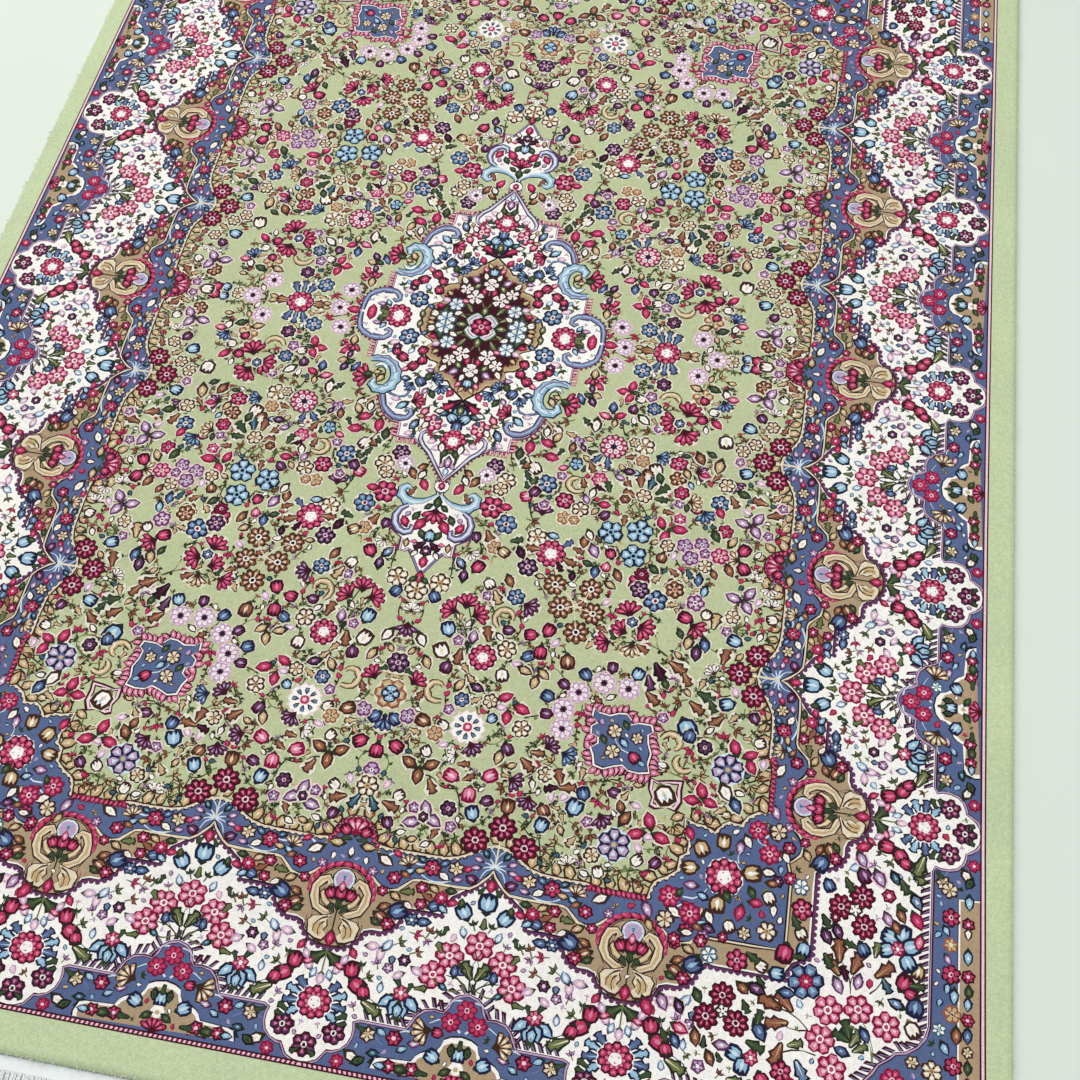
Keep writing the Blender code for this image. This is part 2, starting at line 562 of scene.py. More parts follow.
# %% [markdown]
# ## The borders
# Wavy lines run round the rug: the edge of the field, both edges of the tan band and the outer edge of
# the ivory main border. They repeat every 333 squares along the sides, and are mirrored in between. So
# half a repeat of each is charted, as `u` along the border and `v` across it. It is laid along the long
# side and, a little stretched, along the short side.

# %%  Half a repeat of each line
FIELD_X, FIELD_Y = 490.0, 800.0
HALF_REPEAT = 166.5
SHORT_REPEAT = 360.0
SHORT_U, SHORT_V = 360 / 333.0, 279 / 276.0
STAR_X = 181.0
IVORY_EDGE = [
    (0, 270), (9, 269), (17, 265), (22, 258), (25, 252.5), (31, 252), (39, 249), (46, 242), (49, 233),
    (49, 224), (47, 217), (54, 213.5), (76, 213.5), (105, 213.5), (109, 206), (113, 197), (121, 189),
    (132, 186), (142, 187), (146, 181), (149, 172), (156, 166), (166.5, 163)]
TAN_EDGE = [
    (0, 139), (14, 138), (24, 133), (32, 124), (37, 115), (44, 112), (55, 112), (65, 107), (72, 98),
    (76, 87), (82, 79.5), (100, 79), (118, 79), (121, 66), (127, 56), (134, 50), (142, 45), (150, 39),
    (156, 32), (161, 26), (166.5, 19)]
BAND_EDGE = [
    (0, 40), (12, 40), (22, 43), (32, 46), (38, 52), (45, 57), (54, 58.5), (62, 56), (70, 48), (76, 42),
    (82, 40), (104, 40), (126, 40), (143, 39), (150, 34), (156, 27), (161, 21), (166.5, 13)]
FIELD_EDGE = [
    (0, -23), (10, -21), (18, -15), (23, -7), (26, 3), (32, 8), (40, 9), (60, 9), (90, 9), (110, 8), (122, 5),
    (132, 0), (142, -7), (154, -14), (166.5, -17)]


def long_side(yc, s):
    return lambda p: np.stack([FIELD_X + p[:, 0], yc + s * p[:, 1]], 1)


def short_side(xc, s):
    return lambda p: np.stack([xc + s * SHORT_U * p[:, 1], FIELD_Y + SHORT_V * p[:, 0]], 1)


def quarter_line(line, corner, last, first=0.0):
    """the line for a quarter: up the long side, round the corner, and back along the short side"""
    c = np.array(line, float)[:, ::-1]
    parts = []
    for yc, s in ((0, 1), (333, -1), (333, 1), (666, -1)):
        q = c[c[:, 1] >= first] if yc == 666 else c
        parts.append(long_side(yc, s)(q)[::s])
    if last:
        parts.append(long_side(666, 1)(c[c[:, 1] <= last]))
    parts.append(np.array(corner, float))
    if last:
        parts.append(short_side(SHORT_REPEAT, 1)(c[c[:, 1] <= last])[::-1])
    for xc, s in ((SHORT_REPEAT, -1), (0, 1)):
        q = c[c[:, 1] >= first] if xc else c
        parts.append(short_side(xc, s)(q)[::-s])
    points = np.concatenate(parts)
    kept = [points[0]]
    for q in points[1:]:
        if np.hypot(*(q - kept[-1])) > 0.6:
            kept.append(q)
    return np.array(kept)


print("points in half a repeat", [len(q) for q in (IVORY_EDGE, TAN_EDGE, BAND_EDGE, FIELD_EDGE)])

# %% [markdown]
# The corners have their own turn of each line, charted once.

# %%  Corner turns
IVORY_CORNER = [
    (703.5, 780), (703.5, 905), (700, 918), (692, 930), (680, 938), (668, 941), (662, 948), (650, 957),
    (643, 968), (634, 979), (626, 985), (624, 997), (618, 1008), (606, 1018), (594, 1022), (580, 1024),
    (520, 1024), (470, 1024)]
TAN_CORNER = [
    (569, 760), (569, 850), (560, 856), (550, 862), (543, 872), (541, 882), (500, 882), (460, 882)]
BAND_CORNER = [(537, 760), (537, 847), (500, 847), (450, 847)]
FIELD_CORNER = [
    (500, 611), (504, 613), (505, 682), (492, 683), (480, 691), (473, 703), (458, 701), (448, 708),
    (442, 718), (432, 712), (418, 711), (403, 706), (405, 724), (412, 738), (411, 750), (403, 756),
    (402, 774), (390, 784), (378, 790), (372, 802), (371, 813), (340, 813), (305, 813), (299, 810)]
ivory_edge = quarter_line(IVORY_EDGE, IVORY_CORNER, 60)
tan_edge = quarter_line(TAN_EDGE, TAN_CORNER, 82)
band_edge = quarter_line(BAND_EDGE, BAND_CORNER, 80)
field_edge = quarter_line(FIELD_EDGE, FIELD_CORNER, 0, 58)
print("points in the four lines", len(ivory_edge), len(tan_edge), len(band_edge), len(field_edge))

# %% [markdown]
# ## Grounds, combs and frills
# A ground is all that lies inside a line, so each line is drawn as a few grounds, every one a square or
# two smaller. Some lines are trimmed with a comb of slanted ticks, or with a frill of small petals.

# %%  Marks along a line
def offset(path, d):
    """moves an open path sideways, outwards from the field if d is positive"""
    p, n = sideways(path)
    return p - n * d


def fill_inside(path, d, dye):
    q = offset(path, d)
    lay(np.concatenate([q, [(-5, q[-1][1]), (-5, -5), (q[0][0], -5)]]), dye)


def along(path, gap):
    """evenly spaced spots on a path, and the path's direction at each"""
    p = np.asarray(path, float)
    run = np.hypot(*np.diff(p, axis=0).T)
    s = np.concatenate([[0], np.cumsum(run)])
    n = max(2, int(s[-1] / gap))
    t = (np.arange(n) + 0.5) / n * s[-1]
    k = np.clip(np.searchsorted(s, t) - 1, 0, len(run) - 1)
    d = np.diff(p, axis=0)[k] / run[k][:, None]
    return np.stack([np.interp(t, s, p[:, 0]), np.interp(t, s, p[:, 1])], 1), d


def comb(path, gap, size, dyes, side, lean=0.35, width=0.5, keep=None):
    """a row of slanted ticks on one side of a path; the second dye is the middle of the tick"""
    for (x, y), (dx, dy) in zip(*along(path, gap)):
        if keep and not keep(x, y):
            continue
        nx, ny = dy * side, -dx * side
        for dye, wide, long in zip(dyes, (width, width * 0.30), (size, size - 2.6)):
            w = gap * wide / 2
            mx, my = nx * long + dx * size * lean, ny * long + dy * size * lean
            lay([(x - dx * w, y - dy * w), (x + dx * w, y + dy * w), (x + dx * w + mx, y + dy * w + my),
                 (x - dx * w + mx, y - dy * w + my)], dye)


def frill(path, gap, size, side, dyes=("maroon", "crimson", "rose")):
    """a row of small overlapping petals standing on a path"""
    line, main, streak = dyes
    for (x, y), (dx, dy) in zip(*along(path, gap)):
        nx, ny = dy * side, -dx * side
        turn = math.degrees(math.atan2(ny + dy * 0.45, nx + dx * 0.45)) + chance.uniform(-9, 9)
        x, y = x + nx * size * 0.4, y + ny * size * 0.4
        s = size / 12 * chance.uniform(0.85, 1.15)
        lay(place(np.array(BUD) * (1.25, 1.6), x, y, turn, s), line)
        lay(place(BUD, x, y, turn, s), main)
        lay(place(np.array(BUD)[[0, 2, 4]] * (0.6, 0.6), x, y, turn, s), streak)


def beads(path, gap, size, dye):
    """round beads along a path, which make its line wavy"""
    for x, y in along(path, gap)[0]:
        lay(place(ring(size, 6), x, y), dye)


def off_the_lobes(x, y):
    """false near the round lobes of the ivory border, which have no comb"""
    if y < FIELD_Y:
        return min(abs(y), abs(y - 333), abs(y - 666)) > 56
    return min(abs(x), abs(x - SHORT_REPEAT)) > 60


print("patches in a short frill", patches_in(lambda: frill([(0, 0), (60, 0)], 6, 8, 1)))

# %%  Grounds
def grounds():
    lay([(-5, -5), (840, -5), (840, 1160), (-5, 1160)], "celadon")
    lay([(-5, -5), (GUARD_X - 5, -5), (GUARD_X - 5, GUARD_Y - 5), (-5, GUARD_Y - 5)], "cobalt")
    for d, dye in ((3.2, "maroon"), (2.0, "lilac"), (0.5, "maroon"), (-0.9, "ivory")):
        fill_inside(ivory_edge, d, dye)
    comb(offset(ivory_edge, -1.6), 9.0, 11, ("maroon", "violet"), -1, 0.5, 0.62, off_the_lobes)
    beads(offset(tan_edge, 1.6), 8.0, 3.6, "plum")
    for d, dye in ((2.0, "plum"), (-0.9, "ink"), (-2.4, "ivory"), (-4.0, "tan")):
        fill_inside(tan_edge, d, dye)
    for d, dye in ((4.6, "brown"), (3.4, "cream"), (0.8, "ink"), (-0.8, "cobalt")):
        fill_inside(band_edge, d, dye)
    beads(offset(field_edge, 1.2), 9.0, 4.6, "ink")
    beads(offset(field_edge, 1.0), 9.0, 3.2, "cream")
    for d, dye in ((2.4, "cream"), (-0.4, "maroon"), (-2.0, "meadow")):
        fill_inside(field_edge, d, dye)
    frill(offset(field_edge, -3), 17.0, 17, -1, ("brown", "gold", "cream"))


grounds()
print("patches in the grounds", len(CHART))

# %% [markdown]
# ## The cartouche
# On the axis of each repeat stands a cartouche: a tan shell with a crimson frill, a lilac disc, a red
# bouquet and two gold scrolls. Outside it come a rose with blue leaves and three maroon flowers. It is
# drawn once, with `x` across the border and `y` along it.

# %%  Cartouche
SHELL = [(40, 0), (42, 13), (47, 22), (56, 31), (67, 36), (80, 36), (91, 31), (99, 27), (106, 31), (116, 32),
         (125, 27), (132, 18), (136, 8), (137, 0)]
LOBE_LEAF = [(101, 5), (104, 15), (106, 25), (112, 30), (119, 28), (126, 27), (131, 18), (132, 10), (126, 6),
             (121, 11), (115, 7), (108, 9)]


def both_ways(points):
    """a whole outline from one half of it"""
    return np.array(points + [(a, -b) for a, b in points[-2:0:-1]], float)


def shell():
    outline = both_ways(SHELL) - (88, 0)
    lay(outline * 1.04 + (88, 0), "brown")
    lay(outline + (88, 0), "tan")
    lay(outline * (0.93, 0.90) + (87, 0), "brown")
    lay(outline * (0.905, 0.86) + (87, 0), "tan")
    arc = [(71 + 33 * math.cos(math.radians(q)), 36 * math.sin(math.radians(q))) for q in range(80, 281, 20)]
    ribbon(arc, 8, "maroon")
    for k in range(13):
        a = math.radians(180 + (k - 6) * 16)
        x, y, turn = 71 + 33.5 * math.cos(a), 36.5 * math.sin(a), math.degrees(a) + 70
        lay(place(BUD, x, y, turn, 0.95), "crimson")
        lay(place(wedge(-2, 4, 0.3, 0), x, y, turn), "rose")
    lay(place(ring(14, 12), 57, 0), "ink")
    lay(place(ring(12.6, 12), 57, 0), "mist")
    lay(place(ring(10.5, 10), 57, 0), "lilac")
    lay(place(wedge(-3, 8, 0.5, 0), 57, 0, 180), "sky")
    lay(place(wedge(-2, 5, 0.4, 0), 57, 0, 180), "cobalt")


def gold_scroll(s):
    plume([(101, 5 * s), (99, 15 * s), (93, 25 * s), (82, 30 * s), (70, 30 * s), (61, 25 * s), (58, 18 * s),
           (63, 14 * s), (67, 18 * s)], 9.5, "brown", "cream", "gold", True)
    plume([(99, 4 * s), (91, 9 * s), (85, 17 * s), (77, 21 * s), (71, 18 * s)], 6, "brown", "gold", "cream")
    lump = np.array(LOBE_LEAF) * (1, s)
    lay((lump - (116, 17 * s)) * 1.13 + (116, 17 * s), "brown")
    lay(lump, "cream")
    lay((lump - (118, 16 * s)) * (0.55, 0.6) + (119, 16 * s), "gold")
    ribbon(bow(104, 8 * s, 124, 22 * s, 0.2 * s, 5), 1.8, "brown", 0.4)
    ribbon(bow(110, 11 * s, 128, 14 * s, 0.2 * s, 4), 1.6, "brown", 0.4)
    leaf(93, s * 7, 6, 150 * s, "green", 2)
    stem(98, 0, 78, s * 10, 0.2 * s, 2.2, "leaf")


def bouquet():
    for s in (-1, 1):
        cup(77, s * 11, 8, 180 - 30 * s, "crimson")
    cup(76, 0, 9, 180, "crimson")
    bud(66, 0, 6, 180, "pink")
    bud(88, 0, 6, 180, "green")
    ribbon([(86, 0), (100, 0), (120, 0)], 1.8, "leaf")
    bud(129, 0, 8, 0, "crimson")


def cartouche():
    bloom(251, 0, 12.5, "maroon", 0)
    for s in (-1, 1):
        bloom(233, s * 29, 11.5, "maroon", 20 * s)
        leaf(258, s * 9, 6, 60 * s, "dark", 2)
        leaf(222, s * 35, 6, 100 * s, "dark", 2)
        for a, q, kind in ((58, 24, "sky"), (84, 26, "blue"), (110, 26, "sky"), (136, 24, "blue")):
            b = math.radians(a) * s
            leaf(202 + q * math.cos(b), q * math.sin(b), 9.5, a * s, kind, 3)
        leaf(214, s * 33, 7, 120 * s, "green", 2)
    rose(203, 0, 18, 0)
    bud(176, 0, 6.5, 0, "ghost")
    for s in (-1, 1):
        leaf(152, s * 10, 12, 50 * s, "green", 3)
        bud(162, s * 17, 6, 140 * s, "ghost")
        bud(170, s * 9, 5.5, 200 * s, "haze")
    stem(139, 0, 170, 0, 0.0, 1.6, "moss")
    shell()
    gold_scroll(1)
    gold_scroll(-1)
    bouquet()
    for x, r in ((203, 30), (80, 40), (116, 28)):
        take(x, 0, r)


def field_lobe():
    """the flower in the half-round lobe, where a cartouche meets the field"""
    fan(-8, 0, 13, 180, "pink")
    for s in (-1, 1):
        cup(-3, s * 11, 8, 180 - 50 * s, "crimson")
        bud(13, s * 19, 8, 90 * s, "gold")
        leaf(6, s * 9, 6, 90 * s, "green", 2)
    bud(22, 0, 6, 180, "ivory")


print("patches in a cartouche", patches_in(cartouche))

# %% [markdown]
# ## The star-burst
# Halfway between two cartouches white rays burst from the tip of the tan band, over three garnet
# flowers. On the ivory side stand a blue tulip and a rose in a spray of leaves. A cloud of cobalt with
# three red flowers and a tan trefoil close it at the guard.

# %%  Star-burst
TREFOIL = [(268, 89), (262, 90), (252, 86), (249.5, 80), (248, 48), (241, 44), (237, 40), (233, 32),
           (231.5, 24), (226, 20), (219, 18), (215, 11), (213, 0)]


def rays():
    for a in (38, 64, 96, 128, 160):
        for s in (-1, 1):
            b = math.radians(a * s)
            q = 26 if a in (128, 160) else 20
            ribbon(bow(11, 0, 11 + q * math.cos(b), q * 1.15 * math.sin(b), 0.16 * s, 5), 2.3, "mist", 0.7)
    for a in (80, 112, 144):
        for s in (-1, 1):
            b = math.radians(a * s)
            bud(11 + 20 * math.cos(b), 22 * math.sin(b), 5.5, a * s, "teal" if a > 130 else "lilac")
    ribbon([(-24, 0), (-8, 0), (11, 0)], 2.2, "cream")


def trefoil():
    edge = both_ways(TREFOIL[::-1]) - (266, 0)
    lay(edge * (1.07, 1.04) + (266, 0), "ink")
    lay(edge * (1.03, 1.02) + (266, 0), "ivory")
    lay(edge * (0.90, 0.965) + (266, 0), "tan")
    for s in (-1, 1):
        ribbon(bow(207, s * 3, 202, s * 38, 0.25 * s, 5), 2.2, "mist", 0.6)
        ribbon(bow(172, s * 2, 182, s * 24, 0.2 * s, 5), 2.0, "mist", 0.6)
    bloom(181, 0, 10, "berry", 0)
    cup(229, 0, 9.5, 0, "sky")
    leaf(221, 0, 6, 0, "green", 2)
    fan(262, 0, 11, 180, "crimson")
    lay(place(lobes(8, 3, 0.8), 246, 0), "ivory")
    lay(place(ring(3, 6), 247, 0), "gold")
    for s in (-1, 1):
        bloom(197, s * 15, 9.5, "berry", 0)
        cup(239, s * 26, 9.5, 180 - 60 * s, "sky")
        bloom(256, s * 47, 7.5, "crimson")
        leaf(258, s * 36, 7, 90 * s, "green", 2)
        bud(258, s * 60, 7.5, 90 * s, "green")
        bloom(257, s * 72, 7, "crimson")
        bud(258, s * 82, 6, 90 * s, "sky")
        fan(213, s * 45, 12, 270 * s + 200, "gold")
        bud(228, s * 9, 6, 0, "dark")
        bud(252, s * 12, 6, 60 * s, "green")


def star_burst():
    rays()
    bud(34, 0, 7.5, 0, "crimson")
    cup(58, 0, 13, 180, "sky")
    leaf(80, 0, 7, 0, "moss", 2)
    bloom(106, 0, 15.5, "pink", 0)
    for s in (-1, 1):
        leaf(40, s * 9, 6, 30 * s, "green", 2)
        leaf(137, s * 8, 11, 180 - 30 * s, "olive", 3)
        bud(140, s * 22, 6.5, 180, "blue")
        for a, b in ((112, 4), (126, 22), (146, 30)):
            stem(162, s * 2, a, s * b, 0.15 * s, 1.5, "leaf")
    trefoil()
    take(103, 0, 16)


def star_roses():
    """the three garnet flowers on the field side"""
    bloom(-40, 0, 15, "garnet", 0)
    for s in (-1, 1):
        bloom(-19, s * 29, 15, "garnet", 12)


print("patches in a star-burst", patches_in(star_burst))

# %% [markdown]
# Everything between the two axes is written as one list, `x` across the border and `y` along it from
# the cartouche's axis. It is laid eight times in the quarter, every other time mirrored.

# %%  Between the axes
BETWEEN = """
bloom pink 123 136.5 14.5; bloom pink 148 122 14.5; bud blue 139 150 6.5 60
stem moss 158 162.5 132 142.5 0.1; stem moss 158 160.5 153 122.5 0.2; leaf olive 116 124 7 210
leaf olive 166 112 7 100; cup sky 72 144 11 215; bud green 60 138 5.5 180; bud haze 93 146 6 200
leaf green 96 126 6 160; sprig green 82 156 6 200; bud sky 187 78 10 -50; bud sky 192 87 10 -18
bud sky 192 97 10 14; bud sky 186 106 10 46; bloom pink 175 92 8.5; bud sky 196 92 8 0
leaf green 163 86 7 210; leaf green 168 100 6 160; sprig green 204 92 6 0; cup crimson 175 40 11 60
cup crimson 162 33 11 190; cup crimson 181 50 9 20; sprig olive 164 53 7 120; sprig green 152 42 6 200
leaf moss 198 62 12 62; stem leaf 188 46 206 78 0.2; bud crimson 141 30 6 30; bud ghost 128 50 7 100
bud ghost 136 60 7 0; bud haze 124 66 7 150; sprig plum 146 58 6 200; bloom lilac 150 72 5.5
sprig olive 118 80 7 120; bloom plum 138 88 6.5; bud ghost 156 84 6 300; sprig crimson 106 96 7 80
bud blue 90 100 8 95; sprig brown 126 101 7 110; sprig brown 99 110 7 160; bud ghost 148 104 6.5 60
sprig green 100 120 6 150; bloom cobalt 90 86 7.5; bud pink 158 18 5.5 250; bud ghost 150 22 5.5 330
bud haze 174 68 5.5 0; bud teal 160 136 5.5 60; sprig plum 112 108 6 40; bud grey 140 74 5 0
bud ivory 25 42 9 60; bloom lilac 41 30 5.5; bloom crimson 44 56 8; fan gold 22 68 9 200
bud sky 33 72 6 120; bloom crimson 24 97 9; bud blue 16 110 6 120; bud ivory 32 112 7 60
bloom gold 20 124 8.5; bud lilac 33 128 5.5 100; cup plum 29 142 7.5 60; bud crimson 18 138 5.5 120
bud teal 16 84 5.5 60; bud gold 30 84 6 100; bud brown 38 68 6 60; bud crimson 14 54 5.5 60
sprig gold 14 30 5 120; bloom crimson 50 90 7; leaf brown 60 98 8 60; bloom crimson 70 92 6.5
cup blue 70 106 8 110; bloom berry 58 114 7.5; bud sky 71 118 6 60; bud gold 49 104 6.5 60
bud green 48 124 6 90; bud crimson 62 128 6 100; cup blue 84 66 12 120; cup brown 92 48 9 60
bloom crimson 100 60 7.5; bud gold 66 62 7 60; bud ivory 74 78 6 60; leaf moss 58 74 8 100
bloom crimson 62 46 6; bud brown 80 52 7 120; bud green 100 46 6 60; bloom crimson 226 95 8.5
bloom gold 227 66 8.5; bud sky 222 80 6 60; bud sky 236 106 5.5 120; bud lilac 228 118 6 100
leaf green 222 57 6 60; bud ivory 254 54 8.5 60; bud dark 257 62 7 120; bloom berry 262 39 7
bud teal 246 76 6 100; bloom crimson 257 112 8; bud green 258 98 6 60; bloom berry 256 126 8.5
bud sky 253 82 7 110
"""


def between():
    for a, b, c, d, sag in ((18, 44, 20, 64, 0.3), (18, 72, 20, 92, -0.2), (35, 86, 36, 120, -0.15)):
        ribbon(bow(a, b, c, d, sag), 2.0, "mist", 0.5)
    ribbon(bow(218, 100, 222, 122, 0.2), 1.8, "mist", 0.5)
    ribbon(bow(232, 50, 236, 84, 0.2), 1.6, "slate", 0.5)
    read_out(BETWEEN)
    take(184, 92, 22)


print("patches between two axes", patches_in(between))

# %% [markdown]
# Each motif is captured once, and then stamped wherever the border repeats it, so that every repeat is
# the same to a point.

# %%  Laying the repeats
HALOS[0] = False
CARTOUCHE, LOBE, BURST, HALF = capture(cartouche), capture(field_lobe), capture(star_burst), capture(between)
ROSES = capture(star_roses)
for yc in (0, 333, 666):
    stamp(CARTOUCHE, long_side(yc, 1))
for xc in (0, SHORT_REPEAT):
    stamp(CARTOUCHE, short_side(xc, 1))
for yc, s, reach in ((0, 1, 999), (333, -1, 999), (333, 1, 999), (666, -1, 999), (666, 1, 74)):
    stamp(HALF, long_side(yc, s), reach)
for xc, s, reach in ((0, 1, 999), (SHORT_REPEAT, -1, 999), (SHORT_REPEAT, 1, 74)):
    stamp(HALF, short_side(xc, s), reach)
for yc in (HALF_REPEAT, 3 * HALF_REPEAT):
    stamp(BURST, long_side(yc, 1))
stamp(BURST, short_side(STAR_X, 1))
print("patches so far", len(CHART))

# %% [markdown]
# ## The medallion
# The middle of the rug is an ivory medallion with an edge of lilac and blue scrolls. Its core is a dark
# lozenge in a tan frame with round cusps. Roses, red and blue tulips and small palmettes fill the ivory
# between them.

# %%  Edge of the medallion
MEDALLION = [
    (191, 0), (189, 24), (180, 38), (166, 47), (152, 52), (152, 82), (134, 80), (119, 84), (109, 95),
    (105, 110), (106, 128), (112, 140), (125, 143), (123, 156), (116, 172), (107, 183), (96, 189),
    (85, 191), (84, 214), (55, 214), (54, 218), (44, 223), (34, 230), (27, 240), (19, 253), (10, 266),
    (0, 278)]


def edge_marks(x0, y0, x1, y1):
    """crimson and blush ticks outside a straight stretch of the medallion's edge"""
    n = int(max(abs(x1 - x0), abs(y1 - y0)) / 5.2)
    for k in range(n):
        t = (k + 0.5) / n
        x, y = x0 + (x1 - x0) * t, y0 + (y1 - y0) * t
        for wide, long, dye in ((1.7, 9.0, "crimson"), (0.7, 7.6, "blush")):
            if x0 == x1:
                lay([(x + 1, y - wide), (x + long, y - wide), (x + long, y + wide), (x + 1, y + wide)], dye)
            else:
                lay([(x - wide, y + 1), (x - wide, y + long), (x + wide, y + long), (x + wide, y + 1)], dye)


def medallion_edge():
    comb(MEDALLION, 7.0, 5.5, ("wine", "rose"), 1, 0.2, 0.5)
    for d, dye in ((2.0, "plum"), (0.4, "blush"), (-0.8, "indigo"), (-2.4, "ivory")):
        fill_inside(MEDALLION, d, dye)
    plume([(188, 2), (187, 20), (183, 32), (175, 40), (164, 45), (153, 46), (143, 44), (136, 38), (135, 31),
           (140, 27), (146, 31)], 8.6, "indigo", "violet", "sky", True)
    for a, b in ((150, 47), (164, 45), (176, 38), (184, 28)):
        ribbon(bow(a, b, a - 9, b - 6, 0.25, 4), 2.2, "slate", 0.6)
    plume([(122, 138), (119, 152), (114, 165), (106, 175), (96, 181), (85, 183), (76, 180), (71, 173),
           (73, 166), (79, 165), (81, 171)], 8.6, "indigo", "violet", "sky", True)
    scroll([(121, 136), (108, 143), (96, 146), (87, 143), (83, 136), (86, 131),
            (91, 133)], 2.4, "indigo", "slate")
    scroll([(83, 214), (83, 200), (84, 190)], 2.4, "indigo", "blush", "ivory")
    plume([(2, 274), (14, 258), (24, 243), (31, 233), (41, 224), (48, 213), (48, 204), (42, 198), (37, 202)],
          5, "indigo", "lilac", "mist")


def acanthus():
    """the sky blue scroll on each shoulder, with a crimson carnation springing out of it"""
    big = [(153, 86), (140, 82), (126, 84), (115, 93), (109, 106), (109, 120), (115, 132), (126, 138),
           (137, 136), (142, 128), (138, 122), (132, 125)]
    plume(big, 15, "indigo", "sky", "mist", True)
    ribbon([(150, 85), (138, 81.5), (126, 82.5), (115, 91), (108, 104)], 3, "violet")
    for a, b in ((118, 92), (112, 104), (112, 118), (119, 129), (130, 135)):
        ribbon(bow(a - 3, b - 2, a + 6, b + 2, 0.3, 4), 1.7, "slate", 0.4)
    lay(place(ring(9, 9, 1.25), 133, 108), "leaf")
    lay(place(ring(7, 9, 1.25), 133, 108), "meadow")
    plume(bow(124, 100, 144, 100, -0.4, 6), 6, "teal", "mist", "ivory", True)
    bud(131, 118, 8, 60, "gold")
    bud(138, 108, 6, 20, "gold")
    fan(158, 117, 16, 0, "crimson")
    bud(150, 113, 7, 200, "green")


print("patches on the edge and its scrolls", patches_in(medallion_edge), patches_in(acanthus))

# %%  Core of the medallion
CORE = [
    (92, -4), (92, 4), (92, 14), (88, 24), (80, 32), (70, 36), (66, 40), (72, 46), (75, 55), (72, 65),
    (64, 72), (54, 74), (50, 77), (54, 84), (54, 93), (48, 101), (38, 105), (30, 105), (27, 108), (22, 116),
    (12, 124), (4, 131), (0, 136), (-4, 136)]
CORE_FLOWERS = """
stem moss 0 20 58 6 0.1; stem moss 0 30 40 60 0.2; stem moss 0 60 0 110 0; stem moss 36 8 70 18 0.2
leaf moss 34 18 9 30; leaf moss 24 33 9 60; bud green 60 22 8 100; leaf green 8 106 8 60; bud moss 20 76 8 120
bloom white 20 54 14 10; bloom white 0 82 12 0; bloom ivory 56 7 14 0; bloom ivory 46 36 11 0
bloom white 36 68 11; cup sky 0 105 9 90; bud lilac 25 88 8 40; cup ivory 74 14 8 20; bud ivory 11 97 7 70
bud ghost 62 42 6 20; bud gold 60 56 6 40; bud crimson 8 66 6 80; bud pink 33 44 6 20; bud ivory 42 84 8 60
bud crimson 70 30 6 0; bud pink 14 110 6 60; bud ivory 40 20 7 150; bud gold 8 118 6 60; bud gold 78 4 6 0
"""


def core_patch(size, dye):
    lay(np.concatenate([np.array(CORE) * size, [(-5, -5)]]), dye)


def medallion_core():
    for size, dye in ((1.03, "ink"), (1.0, "gold"), (0.965, "tan"), (0.90, "rust")):
        core_patch(size, dye)
    for (x, y), (dx, dy) in zip(*along(np.array(CORE) * 0.86, 6.6)):
        lay([(x - dx * 2.8, y - dy * 2.8), (x + dx * 2.8, y + dy * 2.8), (x + dy * 5, y - dx * 5)], "maroon")
    core_patch(0.86, "maroon")
    read_out(CORE_FLOWERS)
    for size, dye in ((30, "ink"), (28.5, "moss"), (26, "mist"), (23, "teal"), (21.5, "blush")):
        lay(place(lobes(size, 4, 0.74, 3), 0, 0, 45), dye)
    for a in (0, 90):
        bud(31 * math.cos(math.radians(a)), 30 * math.sin(math.radians(a)), 9, a, "moss")
    lay(place(lobes(17.5, 9, 0.86), 0, 0), "maroon")
    bloom(0, 0, 14.5, "crimson", 0)


print("patches in the core", patches_in(medallion_core))

# %%  Flowers of the medallion
MEDALLION_FLOWERS = """
leaf maroon 13 146 14 35; leaf crimson 20 152 10 40; cup sky 0 158 16 90; bud moss 0 156 8 90
cup sky 11 168 10 130; cup blue 0 182 10 90; bud teal 24 164 8 20; bloom pink 36 183 13.5; rose - 0 209 19
cup ivory 0 238 14 90; bud lilac 0 246 8 90; bud green 9 232 7 60; bud ghost 22 224 7 30
leaf green 26 206 8 20; bud ghost 31 214 6 20; bud grey 63 190 9 60; bud green 20 196 5 0
bud haze 0 262 6 90; sprig crimson 34 202 7 30; bud ivory 14 222 8 100; bud lilac 8 252 5 60
rose - 130 2 19; bud crimson 172 3 10 90; leaf green 155 10 10 80; leaf moss 153 4 8 200
bud sky 150 22 6 60; bud lilac 160 18 6 0; bloom cobalt 105 36 14; bud blue 84 26 6 30; bud moss 94 10 7 80
bud ghost 124 50 8 200; bloom plum 118 58 7; cup crimson 79 60 9 250; cup crimson 76 74 9 100
cup crimson 86 86 10 60; cup crimson 104 76 10 330; cup crimson 116 68 8 300; stem leaf 79 60 86 86 0.1
stem leaf 86 86 116 68 0.2; fan blue 46 106 10 200; fan blue 36 122 10 120; cup blue 71 112 10 120
fan blue 84 124 9 60; bud green 60 104 8 70; sprig olive 78 102 7 60; bud grey 94 112 7 0
stem moss 55 150 50 118 0.1; stem moss 55 150 70 120 0.1; bud green 48 134 7 120; bud lilac 60 130 6 60
fan crimson 66 148 12 200; sprig green 40 150 7 210; bud ivory 30 160 7 200; bud pink 52 166 8 60
bud sky 88 160 9 40; bud ghost 100 150 6 0; bud gold 56 174 6 0; sprig green 66 164 7 150
bud crimson 22 128 7 60; bud pink 34 138 5 40; sprig green 60 202 7 20; bud ivory 46 188 7 60
bud blue 62 210 5 0; bud ghost 68 206 6 20; bud gold 52 196 5 90; bud pink 98 96 6 30; bud lilac 60 92 6 0
sprig green 136 60 7 60; bud haze 96 62 6 60; bud sky 128 66 5 60; bud teal 30 174 5 60
leaf moss 92 52 6 20
"""


